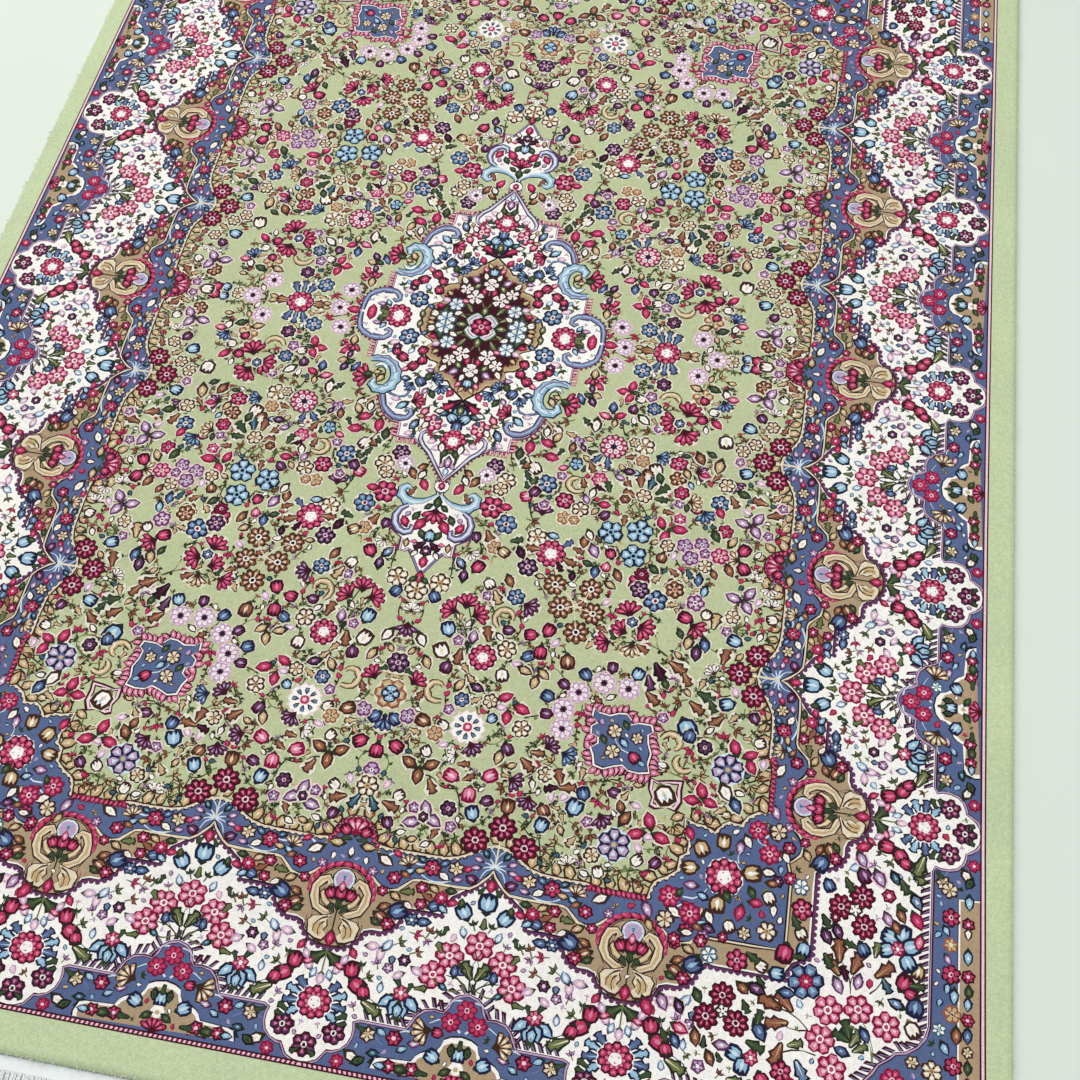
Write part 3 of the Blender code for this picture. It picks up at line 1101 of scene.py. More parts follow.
def medallion():
    medallion_edge()
    acanthus()
    edge_marks(152, 84, 152, 52)
    edge_marks(84, 214, 84, 191)
    edge_marks(55, 215, 84, 215)
    medallion_core()
    read_out(MEDALLION_FLOWERS)
    for x, y, r in ((95, 30, 92), (60, 90, 75), (150, 100, 30), (60, 190, 45), (20, 240, 28)):
        take(x, y, r)


print("patches in the medallion", patches_in(medallion))

# %% [markdown]
# ## The pendants
# A pendant hangs from each end of the medallion on a white bead, between two blue scrolls.

# %%  Pendant
PENDANT = [
    (8, 308), (20, 318), (40, 324), (50, 330), (56, 342), (56, 356), (52, 366), (44, 372), (38, 376),
    (38, 396), (30, 396), (24, 394), (18, 402), (12, 410), (6, 420), (0, 428)]
PENDANT_FLOWERS = """
fan crimson 0 335 14 90; bud green 0 314 8 90; bud crimson 18 352 10 60; bud crimson 40 350 8 300
bud green 12 322 6 40; cup sky 0 366 10 90; leaf maroon 10 384 9 40; bud green 26 340 7 60
bud gold 30 384 6 90; bloom plum 0 392 8; bud green 12 366 7 300; bud ivory 16 398 6 60
bud crimson 0 410 8 90; bud pink 20 380 5 0; bud lilac 38 338 5 60; bud crimson 0 434 8 90
bud green 9 438 6 30
"""


def pendant():
    plume([(2, 302), (10, 310), (22, 317), (36, 319), (48, 315), (55, 306), (54, 297), (47, 293), (41, 298)],
          13, "indigo", "sky", "mist", True)
    scroll([(3, 300), (4, 288), (10, 276)], 3.0, "indigo", "lilac")
    comb(PENDANT, 7.0, 5.0, ("wine", "rose"), -1, 0.2, 0.5)
    edge = np.array(PENDANT, float)
    lay(np.concatenate([edge * (1.05, 1.0) + (1.2, 0.6), [(-5, 430), (-5, 304)]]), "plum")
    lay(np.concatenate([edge, [(-5, 428), (-5, 304)]]), "ivory")
    plume([(40, 324), (50, 331), (55, 343), (53, 355), (46, 364), (37, 368), (29, 365), (27, 358), (32, 356)],
          10, "indigo", "violet", "mist")
    scroll([(37, 378), (37, 396), (30, 396), (24, 392)], 2.2, "indigo", "blush", "ivory")
    scroll([(24, 392), (14, 408), (6, 421), (0, 430)], 2.8)
    read_out(PENDANT_FLOWERS)
    for size, n, squash, dye in ((12, 10, 1.0, "indigo"), (10.5, 10, 1.0, "ivory"), (5.6, 7, 1.3, "wine"),
                                 (2.6, 5, 1.3, "rose")):
        lay(place(ring(size, n, squash), 0, 286), dye)
    for x, y, r in ((0, 340, 55), (0, 395, 34), (0, 288, 16), (36, 306, 24)):
        take(x, y, r)


print("patches in a pendant", patches_in(pendant))

# %% [markdown]
# ## The field
# The meadow round the medallion is full of single flowers, each on its own stem: daisies, roses,
# carnations, tulips, five gold wheel flowers from one branch, a blue four-petal flower near each side.
# Between them run a few gold acanthus scrolls. This is the longest chart.

# %%  The field, lower part
FIELD_LOW = """
bloom daisy 223 0 12; bloom daisy 363 0 12; bloom daisy 213 36 12; bloom daisy 338 34 12
bud crimson 200 0 10 0; rose - 287 0 20; leaf blue 287 30 10 90; leaf blue 275 27 10 110
leaf blue 299 27 10 70; leaf blue 266 34 8 130; leaf brown 257 2 10 180; leaf brown 317 2 10 0
bud gold 330 4 7 20; bud gold 244 4 6 180; bloom cobalt 255 38 12; bloom plum 290 58 10
fan crimson 188 66 13 60; bud gold 186 56 9 270; bud crimson 196 78 8 40; bud plum 186 84 7 80
bud crimson 232 80 9 180; bud crimson 245 68 9 280; bud crimson 243 90 9 120; bud green 252 80 6 0
bud blue 172 103 9 240; bud green 182 96 7 200; bud gold 195 95 8 20; bud plum 190 107 8 60
bud blue 222 110 9 270; bud pink 212 127 9 200; bud crimson 235 123 8 330; bud gold 228 138 7 90
cup ivory 262 90 9 200; bloom lilac 275 83 8; bloom cobalt 282 103 9.5; cup plum 252 107 9 100
bud ivory 270 125 10 40; fan crimson 335 97 15 290; fan crimson 308 123 15 160; fan crimson 335 143 15 60
cup crimson 352 112 9 330; bloom cobalt 322 122 7; bloom ochre 350 70 14; cup crimson 352 76 8 60
bud gold 338 56 9 200; bud ivory 385 62 9 60; fan blue 385 80 11 60; bud pink 395 68 8 0
bud crimson 376 115 9 45; cup ivory 392 140 13 80; bud green 366 54 9 20; rosette - 233 178 20
leaf blue 213 201 9 130; leaf blue 228 205 9 80; leaf dark 205 192 7 160; bloom gold 277 170 14
bloom gold 262 166 8; bloom ochre 278 195 9; bloom lilac 180 180 9; bud brown 174 190 8 100
bud plum 190 188 6 60; bud ivory 202 146 11 90; leaf dark 187 141 8 45; hazy crimson 137 188 10 200
hazy crimson 113 200 10 90; hazy crimson 147 211 10 10; leaf dark 128 178 7 60; leaf dark 158 200 7 300
bud ivory 150 165 8 60; leaf gold 135 160 9 60; leaf gold 168 168 8 20; fan blue 305 186 11 20
bloom crimson 330 191 12; bud green 340 176 6 0; cup ivory 300 209 12 250; bloom orange 332 216 11
cup brown 290 216 9 200; bud gold 344 206 8 60; fan plum 364 200 11 0; hazy crimson 370 204 7 10
bud gold 388 186 11 100; bud brown 360 177 10 60; bud green 376 168 7 30; leaf brown 262 236 10 230
leaf brown 280 228 11 262; leaf teal 296 230 11 285; leaf green 312 238 11 315; leaf brown 268 252 10 200
leaf green 312 254 9 0; bloom gold 288 252 10; bud lilac 250 228 7 20; bud sky 270 216 7 200
bud green 306 218 8 250; bloom crimson 340 238 10; bud sky 352 224 6 60; fan blue 378 270 12 60
cup crimson 366 262 9 200; bloom cobalt 396 246 12; bud crimson 398 262 8 60; bloom pink 343 281 8
fan gold 360 250 11 350; bud green 350 262 6 90; bud crimson 318 291 9 250; bud crimson 345 298 10 0
bud crimson 325 312 9 120; bud green 332 300 5 0; bloom sky 250 318 17 20; bloom sky 290 310 18 60
bloom sky 287 350 17 40; bloom lilac 355 322 10; bloom lilac 378 316 9; bloom lilac 365 340 10
bloom lilac 384 330 7; bloom gold 331 326 9; cup brown 326 344 9 100; bloom crimson 78 308 17
bud crimson 98 304 8 0; bloom cobalt 103 331 14; fan plum 150 299 11 270; bloom lilac 150 290 6
bloom crimson 178 279 12.5; bloom gold 202 289 11; bloom ochre 182 307 9; bloom ochre 196 308 7
bloom gold 150 344 13; bud sky 172 338 8 10
"""
print("motifs written", FIELD_LOW.count(";"))

# %%  The field, middle part
FIELD_MIDDLE = """
rose - 173 366 20; leaf brown 148 362 10 180; leaf brown 200 374 10 20; leaf maroon 188 384 8 60
leaf blue 194 347 8 320; bloom plum 145 392 13; leaf brown 84 356 12 60; bloom ochre 94 370 9
cup gold 106 374 10 30; leaf green 122 354 9 340; bud maroon 132 372 9 60; bloom cobalt 148 256 14
bud green 128 256 9 110; leaf green 120 262 7 70; cup pink 125 281 10 160; cup plum 132 274 10 300
bud crimson 222 236 9 0; bloom pink 221 236 10; bloom sky 184 216 9; bud pink 166 226 7 160
leaf brown 207 217 9 60; leaf green 196 222 6 100; bloom plum 70 240 12; bloom daisy 60 257 10
bloom gold 90 262 13; bloom gold 84 276 10; bud brown 35 260 8 40; bud brown 45 272 9 120
bud ivory 32 272 8 60; cup ivory 125 231 12 60; leaf brown 112 224 12 80; leaf green 104 220 10 60
leaf green 118 246 8 60; bud crimson 25 288 9 120; bud brown 92 208 8 60; bud green 100 214 9 90
bloom gold 116 152 10; bud gold 150 176 9 300; bud ivory 133 170 8 90; leaf maroon 226 250 8 200
leaf green 236 246 9 250; bud ivory 215 260 8 100; bud lilac 208 272 7 60; bud crimson 235 276 8 0
bloom orange 262 262 7; bud plum 262 216 8 0; leaf brown 40 300 8 60; bud lilac 232 352 10 60
cup crimson 256 354 9 250; cup pink 252 372 8 100; bud blue 238 384 9 90; bud green 225 372 7 200
bud brown 216 340 9 90; bud ivory 222 328 8 60; bud maroon 208 396 7 90; bloom crimson 300 390 14
bloom garnet 302 376 9; bloom orange 348 388 12; bud blue 380 372 9 90; bud sky 390 388 8 100
leaf teal 366 364 8 60; bud brown 270 384 9 60; bud gold 262 400 8 30; bud green 318 366 8 40
bud brown 400 360 7 60; bloom gold 0 453 15 0; bloom gold 30 438 14; cup blue 26 457 10 60
bud plum 60 420 9 270; cup crimson 76 406 11 300; bud grey 52 402 9 230; bud brown 125 418 9 60
cup ivory 97 425 10 60; bloom cobalt 138 440 11; fan plum 160 452 12 20; leaf gold 112 445 11 60
fan crimson 52 473 13 200; fan crimson 74 458 13 275; fan crimson 94 474 13 330
stem leaf 88 535 56 478 0.15; stem leaf 88 535 76 464 0.08; stem leaf 88 535 92 480 -0.1
cup sky 57 505 12 250; bud lilac 92 508 9 270; rose - 110 536 18; bloom gold 140 519 12
cup ivory 140 554 11 80; cup ivory 55 538 13 240; cup plum 65 556 10 100; bud gold 38 556 9 60
cup blue 168 525 10 330; bud gold 170 545 9 20; bud gold 195 546 9 40; bud gold 185 560 9 100
cup crimson 170 492 10 170; cup crimson 190 484 11 290; cup crimson 185 513 11 90; cup brown 223 520 12 80
bloom wheel 187 412 15; bloom wheel 200 445 16; bloom wheel 237 411 15; bloom wheel 245 447 15
bloom wheel 227 478 16; stem cream 218 440 190 414 0.1; stem cream 218 440 204 446 0
stem cream 218 440 236 414 0.1; stem cream 218 440 244 447 0; stem cream 218 440 226 474 0
fan crimson 292 432 14 250; fan crimson 284 464 13 200; fan crimson 318 458 14 20; bloom cobalt 300 450 7
bloom cobalt 326 413 15; bloom plum 303 400 12; bloom orange 350 392 12; fan crimson 265 486 12 160
leaf green 276 474 7 60; fan gold 305 490 12 80; leaf brown 318 486 9 30; bloom lilac 380 407 11
cup crimson 372 432 11 200; fan crimson 386 446 13 40; leaf gold 410 430 12 280; cup ivory 396 424 9 300
bud gold 378 467 10 100; bud blue 400 467 10 80
"""
print("motifs written", FIELD_MIDDLE.count(";"))

# %%  The field, upper part
FIELD_TOP = """
bud plum 390 481 10 90; stem leaf 385 446 380 462 0.1; stem leaf 390 446 400 462 -0.1
bud green 366 456 7 60; bloom daisy 232 617 12.5; bloom daisy 229 590 12.5; bloom daisy 245 563 12.5
bloom daisy 276 544 12.5; bloom daisy 309 547 12.5; cup plum 210 600 9 180; cup blue 208 576 10 200
cup plum 226 556 9 220; cup blue 252 538 10 230; cup plum 284 522 9 270; cup sky 318 526 10 290
leaf maroon 345 515 13 60; leaf brown 368 505 13 30; leaf plum 335 533 11 70; leaf brown 382 520 10 60
bud green 356 532 7 60; fan plum 0 513 12 90; bud ivory 24 525 10 60; bloom plum 0 563 14 0
fan crimson 30 582 12 300; leaf green 18 574 7 210; bloom ochre 0 608 20 0; bloom sky 0 608 11 0
fan blue 0 648 13 90; cup blue 12 640 10 40; cup crimson 22 677 11 30; cup crimson 0 685 11 90
bloom lilac 0 714 9; bloom gold 0 736 13 0; leaf teal 12 757 10 60; leaf brown 34 756 11 20
bud gold 88 580 9 300; bud plum 112 580 9 20; bloom cobalt 95 600 9; snow - 110 636 22
fan plum 122 664 11 60; cup ivory 80 640 9 200; cup sky 138 620 8 320; bud crimson 152 586 9 330
bud crimson 176 600 10 20; bud crimson 158 615 9 90; bloom gold 180 626 11; cup plum 166 655 10 60
bud gold 158 670 9 100; bloom lilac 30 635 9; cup brown 53 638 11 200; bloom ochre 70 652 9
bud brown 45 695 10 210; bud brown 75 694 10 330; bud brown 60 712 10 90; leaf brown 80 722 10 60
cup pink 105 705 11 200; cup pink 130 722 11 90; cup pink 150 697 11 330; fan plum 185 698 11 20
leaf brown 195 672 11 40; leaf brown 206 655 9 0; fan plum 222 641 11 320; fan blue 246 652 11 20
leaf brown 240 682 11 250; leaf brown 252 694 11 350; leaf maroon 232 698 9 160; fan plum 205 722 11 100
cup brown 226 727 10 60; cup sky 264 720 13 290; cup blue 274 700 10 250; fan plum 302 728 11 60
bud brown 330 720 10 300; bud brown 322 706 8 250; bud crimson 360 718 10 250; bud crimson 345 738 10 160
bud crimson 378 738 10 20; bloom cupid 321 756 19; bloom cupid 449 634 19; bloom plum 108 747 9
bud lilac 80 752 10 250; bud lilac 65 772 10 170; bud lilac 93 766 10 30; bloom plum 79 763 6
cup sky 390 585 15 60; cup blue 396 596 10 100; bloom plum 417 610 9; bud crimson 455 603 10 250
bud crimson 476 610 9 330; bud crimson 478 626 9 60; bud crimson 420 668 10 250; bud crimson 408 682 9 180
bud crimson 432 682 9 20; bud ivory 450 665 11 60; bud blue 464 680 10 60; leaf green 410 540 12 20
leaf green 420 552 9 60; cup sky 410 10 9 200; cup crimson 422 8 11 330; bloom orange 437 38 11
cup ivory 440 0 12 180; bud lilac 425 60 10 170; bud lilac 450 48 10 300; bud lilac 447 66 10 60
cup sky 427 115 11 200; cup sky 430 190 11 160; cup sky 441 455 11 200; cup sky 441 545 11 160
cup sky 140 750 11 250; cup sky 227 750 11 290; cup brown 182 734 11 270; bud lilac 430 272 10 200
bud lilac 452 262 10 300; bud lilac 450 284 10 60; bud lilac 430 390 10 200; bud lilac 452 380 10 300
bud lilac 450 402 10 60; fan gold 424 330 11 200; cup crimson 436 318 11 300; cup crimson 438 342 11 60
bloom pink 405 330 11; bud brown 420 350 9 60; bud gold 420 305 9 300; fan plum 415 215 11 60
bloom gold 402 215 10; bud green 428 226 9 20; leaf brown 415 240 10 60; bloom crimson 408 290 10
bud green 396 300 9 60
"""
print("motifs written", FIELD_TOP.count(";"))

# %% [markdown]
# Near each corner of the field lie a cobalt lozenge with leaning crimson petals round it, and a maroon
# frame with a large white tulip.

# %%  Gold scrolls, the cobalt lozenge and the white tulip
LOZENGE = [
    (269, 581), (276, 586), (290, 588), (302, 583), (312, 582), (320, 590), (318, 596), (330, 592),
    (346, 592), (349, 600), (343, 606), (345, 618), (350, 630), (348, 645), (351, 656), (338, 659),
    (325, 658), (316, 652), (306, 655), (292, 661), (280, 658), (277, 645), (272, 636), (281, 628),
    (280, 620), (270, 616), (269, 606), (276, 600), (268, 592)]
LOZENGE_FLOWERS = """
stem mist 300 608 326 636 0.2; bloom gold 300 608 9; bloom gold 330 613 8; bloom gold 301 636 9
cup crimson 328 638 9 45; bud sky 314 622 7 45; bud green 288 622 6 60; bud green 314 598 6 60
bud lilac 282 598 5 60; bud sky 340 646 5 30
"""
FRAME = [
    (352, 660), (362, 664), (380, 660), (397, 658), (396, 672), (398, 688), (392, 702), (378, 698),
    (364, 703), (356, 700), (358, 688), (352, 676)]


def scaled(points, size):
    p = np.array(points, float)
    mid = p.mean(0)
    return (p - mid) * size + mid


def gold_scrolls():
    for x, y, r, start, sweep in ((190, 248, 15, 40, 250), (307, 88, 18, 190, 170), (130, 474, 17, 120, 250),
                                  (60, 592, 17, 60, 260), (375, 612, 15, 200, 230), (392, 634, 14, 40, 200)):
        plume(curl(x, y, r, start, sweep, 0.55, 10), 8, "brown", "gold", "cream", True)


def lozenge():
    frill(scaled(LOZENGE + LOZENGE[:1], 1.05), 7.0, 12, 1, ("maroon", "rose", "blush"))
    for size, dye in ((1.06, "maroon"), (1.02, "ivory"), (0.97, "ink"), (0.94, "cobalt")):
        lay(scaled(LOZENGE, size), dye)
    read_out(LOZENGE_FLOWERS)
    take(308, 620, 52)


def white_tulip():
    for size, dye in ((1.0, "maroon"), (0.86, "blush"), (0.74, "maroon"), (0.66, "meadow")):
        lay(scaled(FRAME, size), dye)
    cup(373, 679, 15, 60, "ivory")
    lay(place(wedge(-3, 7, 0.3, 0), 374, 681, 60), "sky")
    take(375, 681, 26)


def field():
    gold_scrolls()
    read_out(FIELD_LOW)
    read_out(FIELD_MIDDLE)
    read_out(FIELD_TOP)


print("patches in the field", patches_in(field))

# %% [markdown]
# ## The corners
# Both side borders meet here: a rose in the cobalt band, a cobalt flower on the tan corner, five pink
# roses round a spray, brown palmettes and a large blue flower in the ivory.

# %%  Corner
CORNER_FLOWERS = """
rose - 464 772 22; bloom berry 500 706 11; bloom berry 517 734 12; bloom berry 400 807 12
bloom berry 427 824 12; bud crimson 416 725 8 60; cup gold 431 739 12 60; cup gold 459 731 11 270
cup gold 423 767 11 170; cup gold 495 762 13 350; cup gold 459 804 12 90; bloom gold 526 704 10
bloom gold 398 836 10; bloom gold 522 829 11; cup ivory 520 786 10 60; bloom gold 495 836 8
bud ivory 528 803 7 90; bud ivory 489 723 8 60; bud ivory 518 757 8 0; bud ivory 538 735 7 60
cup ivory 475 829 9 60; bud ivory 451 824 8 60; bud ivory 426 847 7 0; bud lilac 480 733 8 90
bud lilac 424 789 8 180; bud lilac 520 680 9 60; bud lilac 375 828 9 60; bud crimson 506 797 8 0
bud crimson 487 813 9 100; bloom crimson 412 857 8; bloom plum 530 766 7; bud brown 524 770 7 0
stem mist 417 805 445 790 0.2; stem mist 484 735 480 752 0.2; stem mist 500 716 512 724 0.2
bud sky 440 800 7 200; bud green 470 796 7 60; bud plum 452 838 8 20; bud green 500 786 7 60
bloom lilac 446 848 7; bloom crimson 470 845 6; bud gold 380 846 7 60; bud green 412 800 6 300
bloom crimson 545 760 8; bloom ivory 559 768 9; bloom crimson 562 795 12; cup ivory 562 822 9 60
leaf green 556 812 9 60; cup sky 568 840 10 100; cup crimson 546 848 13 100; leaf dark 562 852 8 0
bloom crimson 444 854 8; bloom ivory 456 868 9; bloom crimson 490 869 12; cup ivory 517 870 9 20
leaf green 508 862 9 30; cup sky 536 876 10 0; bloom garnet 609 783 14; bloom garnet 634 767 14
bloom garnet 638 803 14; bloom garnet 603 797 6; bloom white 626 784 8; bloom garnet 477 912 14
bloom garnet 460 939 14; bloom garnet 496 941 14; bloom white 479 930 8; bloom cobalt 573 879 20
bloom berry 573 879 8; leaf brown 610 836 14 265; leaf brown 604 855 13 230; leaf brown 631 848 13 290
leaf brown 664 851 13 320; leaf maroon 618 862 9 250; stem brown 626 884 612 846 0.1
stem brown 626 884 630 858 -0.1; stem brown 648 880 664 856 0.1; leaf brown 534 911 14 200
leaf brown 551 907 13 225; leaf brown 543 932 13 170; leaf brown 546 966 13 110
stem brown 580 934 540 914 0.1; stem brown 580 934 548 932 -0.1; stem brown 590 960 550 964 0.1
bloom pink 601 907 16; bloom pink 636 900 15.5; bloom pink 669 914 15.5; bloom pink 594 941 15.5
bloom pink 609 972 15.5; leaf green 625 926 12 250; leaf moss 634 934 11 300; leaf green 618 934 10 200
leaf moss 640 944 9 330; stem moss 655 958 626 920 0.2; stem moss 655 958 640 910 0.1; bud blue 645 928 8 60
bud blue 619 950 8 200; cup crimson 687 863 12 300; cup crimson 694 872 9 20; leaf teal 667 867 9 60
leaf green 703 862 9 0; cup blue 702 884 12 100; bud grey 679 886 9 200; bud lilac 611 877 9 60
bud lilac 634 869 8 100; cup ivory 698 910 11 60; cup gold 704 843 10 100; cup sky 672 810 12 200
cup sky 684 806 12 280; cup sky 692 818 12 340; cup sky 690 834 12 60; cup sky 668 824 11 160
bloom pink 679 822 8; cup blue 637 828 10 60; leaf green 624 827 8 200; leaf moss 654 828 9 280
bud brown 676 797 8 60; bud pink 704 810 8 100; leaf dark 592 804 9 60; bud plum 607 814 9 60
bud plum 594 822 9 60; leaf green 597 850 9 60; bud crimson 701 785 10 60; bud brown 682 782 8 60
bud lilac 666 789 8 60; bloom crimson 666 760 8; bud grey 700 762 10 60; leaf green 684 745 10 60
cup blue 592 758 9 60; leaf green 617 754 9 60; leaf green 682 772 7 200; cup plum 634 738 11 60
hazy lilac 654 741 10 60; bud teal 673 737 8 60; hazy lilac 631 721 9 60; bud crimson 632 704 9 160
leaf moss 703 716 14 110; bud blue 552 896 9 0; leaf green 520 890 8 60; bud plum 516 898 10 20
bud brown 500 900 8 40; leaf green 505 920 8 60; bud green 448 918 8 60; hazy lilac 408 932 9 60
hazy plum 428 934 8 60; bud crimson 390 941 10 60; hazy pink 432 958 9 20; bud blue 524 945 11 60
leaf green 522 930 9 280; leaf green 520 962 11 20; leaf moss 566 952 9 340; cup sky 500 975 11 200
cup sky 508 984 11 100; bloom pink 517 976 8; bud brown 451 965 9 80; leaf dark 461 968 7 90
bud lilac 482 968 8 0; bud blue 428 973 8 60; leaf green 414 968 8 60; bud brown 470 985 8 60
leaf dark 480 982 6 60; bloom crimson 552 985 11; leaf grey 574 980 12 60; leaf green 590 1000 9 0
bloom pink 566 1000 9; cup crimson 530 996 10 60; leaf moss 500 1004 9 0; bud gold 540 1010 7 60
bud plum 580 1012 7 60; bloom gold 739 740 9; bloom crimson 741 773 9.5; bloom ochre 741 806 8.5
bloom crimson 742 841 10; bud sky 746 866 8 90; bloom ochre 744 886 9; bud brown 749 910 9 90
bloom gold 722 954 11; bloom crimson 746 944 9; bud sky 736 790 6 60; bud lilac 738 824 6 60
bud sky 738 858 6 100; bud sky 736 926 7 60; bloom berry 678 972 12; bloom berry 700 1000 10
bloom crimson 740 975 8; bloom gold 660 1000 10; bloom crimson 640 1030 10; bloom ochre 610 1040 9
bloom crimson 575 1042 9; bud sky 592 1046 7 0; bloom gold 545 1042 8.5; bloom crimson 512 1040 9.5
bud lilac 528 1040 6 0; bloom ochre 482 1042 8.5; bud gold 462 1040 8 0; bloom gold 716 1024 9
bud sky 690 1024 7 60; bud sky 676 1046 7 60; bloom crimson 730 1040 9; bud lilac 742 1010 7 60
"""
CORNER_STRIP = """
bud sky 763 752 8 90; bloom crimson 762 778 7; bud ivory 762 790 6 90; bud sky 762 818 8 90
bloom crimson 762 840 7.5; bud green 763 858 7 90; bud sky 762 872 7 90; bloom crimson 762 890 7.5
bud blue 762 908 8 90; bloom gold 762 926 6; bud green 762 944 7 90; bloom crimson 762 962 7
bud sky 762 980 7 90; bloom crimson 760 1004 7.5; bud green 758 1024 7 90; bloom gold 746 1052 9
bloom crimson 714 1064 7; bud sky 696 1064 7 0; bud green 680 1065 7 0; bloom crimson 660 1064 7
bud blue 642 1065 7 0; bloom gold 624 1065 6; bud green 606 1065 7 0; bloom crimson 588 1065 7
bud sky 570 1065 7 0; bud ivory 552 1065 6 0; bloom crimson 536 1065 7; bud green 518 1065 7 0
bud sky 500 1065 7 0; bloom crimson 484 1065 6
"""


def corner():
    for d, dye in ((0, "ink"), (1.2, "ivory"), (3.4, "tan")):
        lay([(800, 744 + d), (749 + d, 748 + d), (749 + d, 985), (738 + d, 1000), (722 + d, 1026 + d * 0.6),
             (700, 1056 + d), (466, 1056 + d), (462, 1075), (462, 1090), (800, 1090), (800, 744)], dye)
    read_out(CORNER_FLOWERS)
    read_out(CORNER_STRIP)


def unflare(p):
    """the chart of the corner was drawn on the widened end of the rug; this takes the widening out"""
    q = np.array(p, float)
    q[:, 0] = q[:, 0] - 17 * (np.clip(q[:, 0], 0, 800) / 783) ** 2.5
    return q


CORNER_GOT = capture(corner)
stamp(CORNER_GOT, unflare)
print("patches in the corner", len(CORNER_GOT[0]))

# %% [markdown]
# ## Filling in
# A weaver never leaves bare ground between flowers. Small leaves, buds and blooms are dropped at
# random where no circle is taken yet, then thin stems join neighbours. Seeded chance keeps it the same
# on every run.

# %%  Where free ground is
def inside(path, x, y):
    """is a point inside the closed path?"""
    hit = False
    for (ax, ay), (bx, by) in zip(path, np.roll(path, -1, 0)):
        if (ay > y) != (by > y) and x < (bx - ax) * (y - ay) / (by - ay + 1e-12) + ax:
            hit = not hit
    return hit


HALOS[0] = True
FIELD = capture(field)
WHITE = capture(white_tulip)
HALOS[0] = False
MIDDLE, PENDANT_GOT, LOZENGE_GOT = capture(medallion), capture(pendant), capture(lozenge)
HALOS[0] = True
GROUND = np.concatenate([field_edge, [(-5, field_edge[-1][1]), (-5, -5), (field_edge[0][0], -5)]])
CIRCLES = list(TAKEN)
for got in (FIELD, WHITE, MIDDLE, PENDANT_GOT, LOZENGE_GOT):
    CIRCLES.extend(got[1])
for yc in (HALF_REPEAT, 3 * HALF_REPEAT):
    for x, y, r in ROSES[1]:
        CIRCLES.append((FIELD_X + x, yc + y, r))
for x, y, r in ROSES[1]:
    CIRCLES.append((STAR_X + y, FIELD_Y + x, r))
# ways of bare meadow that wind between the flowers
BARE = (
    ((236, 40), (210, 92), (172, 165), (150, 234), (108, 250), (104, 296), (122, 315), (107, 403),
     (60, 430), (24, 484), (42, 523), (58, 600), (60, 622)),
    ((107, 403), (160, 431), (176, 473)), ((317, 15), (318, 90)),
    ((412, 15), (414, 100), (375, 146), (300, 160)),
    ((393, 159), (414, 225), (418, 294), (398, 312), (362, 298)), ((355, 234), (411, 231)),
    ((405, 345), (421, 370), (412, 405)),
    ((352, 440), (352, 475), (322, 509), (247, 510), (205, 562), (160, 567)),
    ((285, 380), (278, 425)), ((415, 458), (388, 510)), ((183, 579), (200, 611), (178, 650), (136, 678)),
    ((165, 318), (193, 335), (222, 310)), ((228, 238), (268, 240)), ((22, 700), (60, 730), (110, 735)))
for path in BARE:
    CIRCLES.extend((x, y, 10.5) for x, y in along(path, 9)[0])
print("circles taken", len(CIRCLES))


# %%  Small flowers on free ground
FILLERS = (
    (9.0, 70, 0.2, (("fan", "ivory"), ("sprig", "brown"), ("bloom", "gold"), ("leaf", "brown"),
                    ("cup", "plum"), ("sprig", "gold"), ("cup", "ivory"), ("sprig", "crimson"))),
    (6.5, 170, 0.2, (("sprig", "brown"), ("leaf", "gold"), ("bud", "ghost"), ("sprig", "olive"),
                     ("bud", "gold"), ("leaf", "brown"), ("bloom", "lilac"), ("sprig", "crimson"),
                     ("bud", "ivory"))),
    (4.8, 330, 0.2, (("leaf", "gold"), ("sprig", "brown"), ("bud", "crimson"), ("sprig", "green"),
                     ("bud", "ivory"), ("bud", "teal"), ("sprig", "plum"))),
    (3.4, 160, 0.2, (("sprig", "green"), ("bud", "crimson"), ("sprig", "gold"), ("sprig", "brown"))),
)


def filler():
    for size, count, gap, kinds in FILLERS:
        laid = 0
        for _ in range(40 * count):
            x, y = chance.uniform(0, 500), chance.uniform(0, 815)
            near = CIRCLE_TABLE[:, 0] - x, CIRCLE_TABLE[:, 1] - y
            if (np.hypot(*near) < CIRCLE_TABLE[:, 2] + size + gap).any():
                continue
            if not all(inside(GROUND, x + a, y + b) for a, b in ((10, 10), (11, 0), (0, 11))):
                continue
            what, kind = kinds[laid % len(kinds)]
            grown = 1.25 if what == "leaf" else 1.0
            read_out(f"{what} {kind} {x:.1f} {y:.1f} {size * grown:.1f}")
            CIRCLE_TABLE[len(CIRCLES) + len(NEW)] = x, y, size
            NEW.append((x, y))
            laid += 1
            if laid == count:
                break


NEW = []
CIRCLE_TABLE = np.full((len(CIRCLES) + 1200, 3), -999.0)
CIRCLE_TABLE[:len(CIRCLES)] = CIRCLES
CIRCLE_TABLE[len(CIRCLES):, 2] = 0.0
FILL = capture(filler)
print("small flowers", len(NEW))


# %%  Stems between neighbours
def stems():
    spots = np.array([(x, y) for x, y, r in FIELD[1] if r > 5] + NEW)
    for k, (x, y) in enumerate(spots):
        gaps = np.hypot(*(spots - (x, y)).T)
        near = [j for j in np.argsort(gaps)[1:6] if 12 < gaps[j] < 32 and k < j]
        for j in near[:2]:
            path = bow(x, y, spots[j][0], spots[j][1], chance.uniform(-0.25, 0.25), 5)
            ribbon(path, 1.8, chance.choice(STEM_DYES))
            way = math.degrees(math.atan2(*(path[3] - path[1])[::-1])) + chance.choice((-50, 50))
            small_leaf = place([(0, 0), (3, -2.2), (7, 0), (3, 2.2)], *path[2], way)
            lay(small_leaf, chance.choice(STEM_DYES))


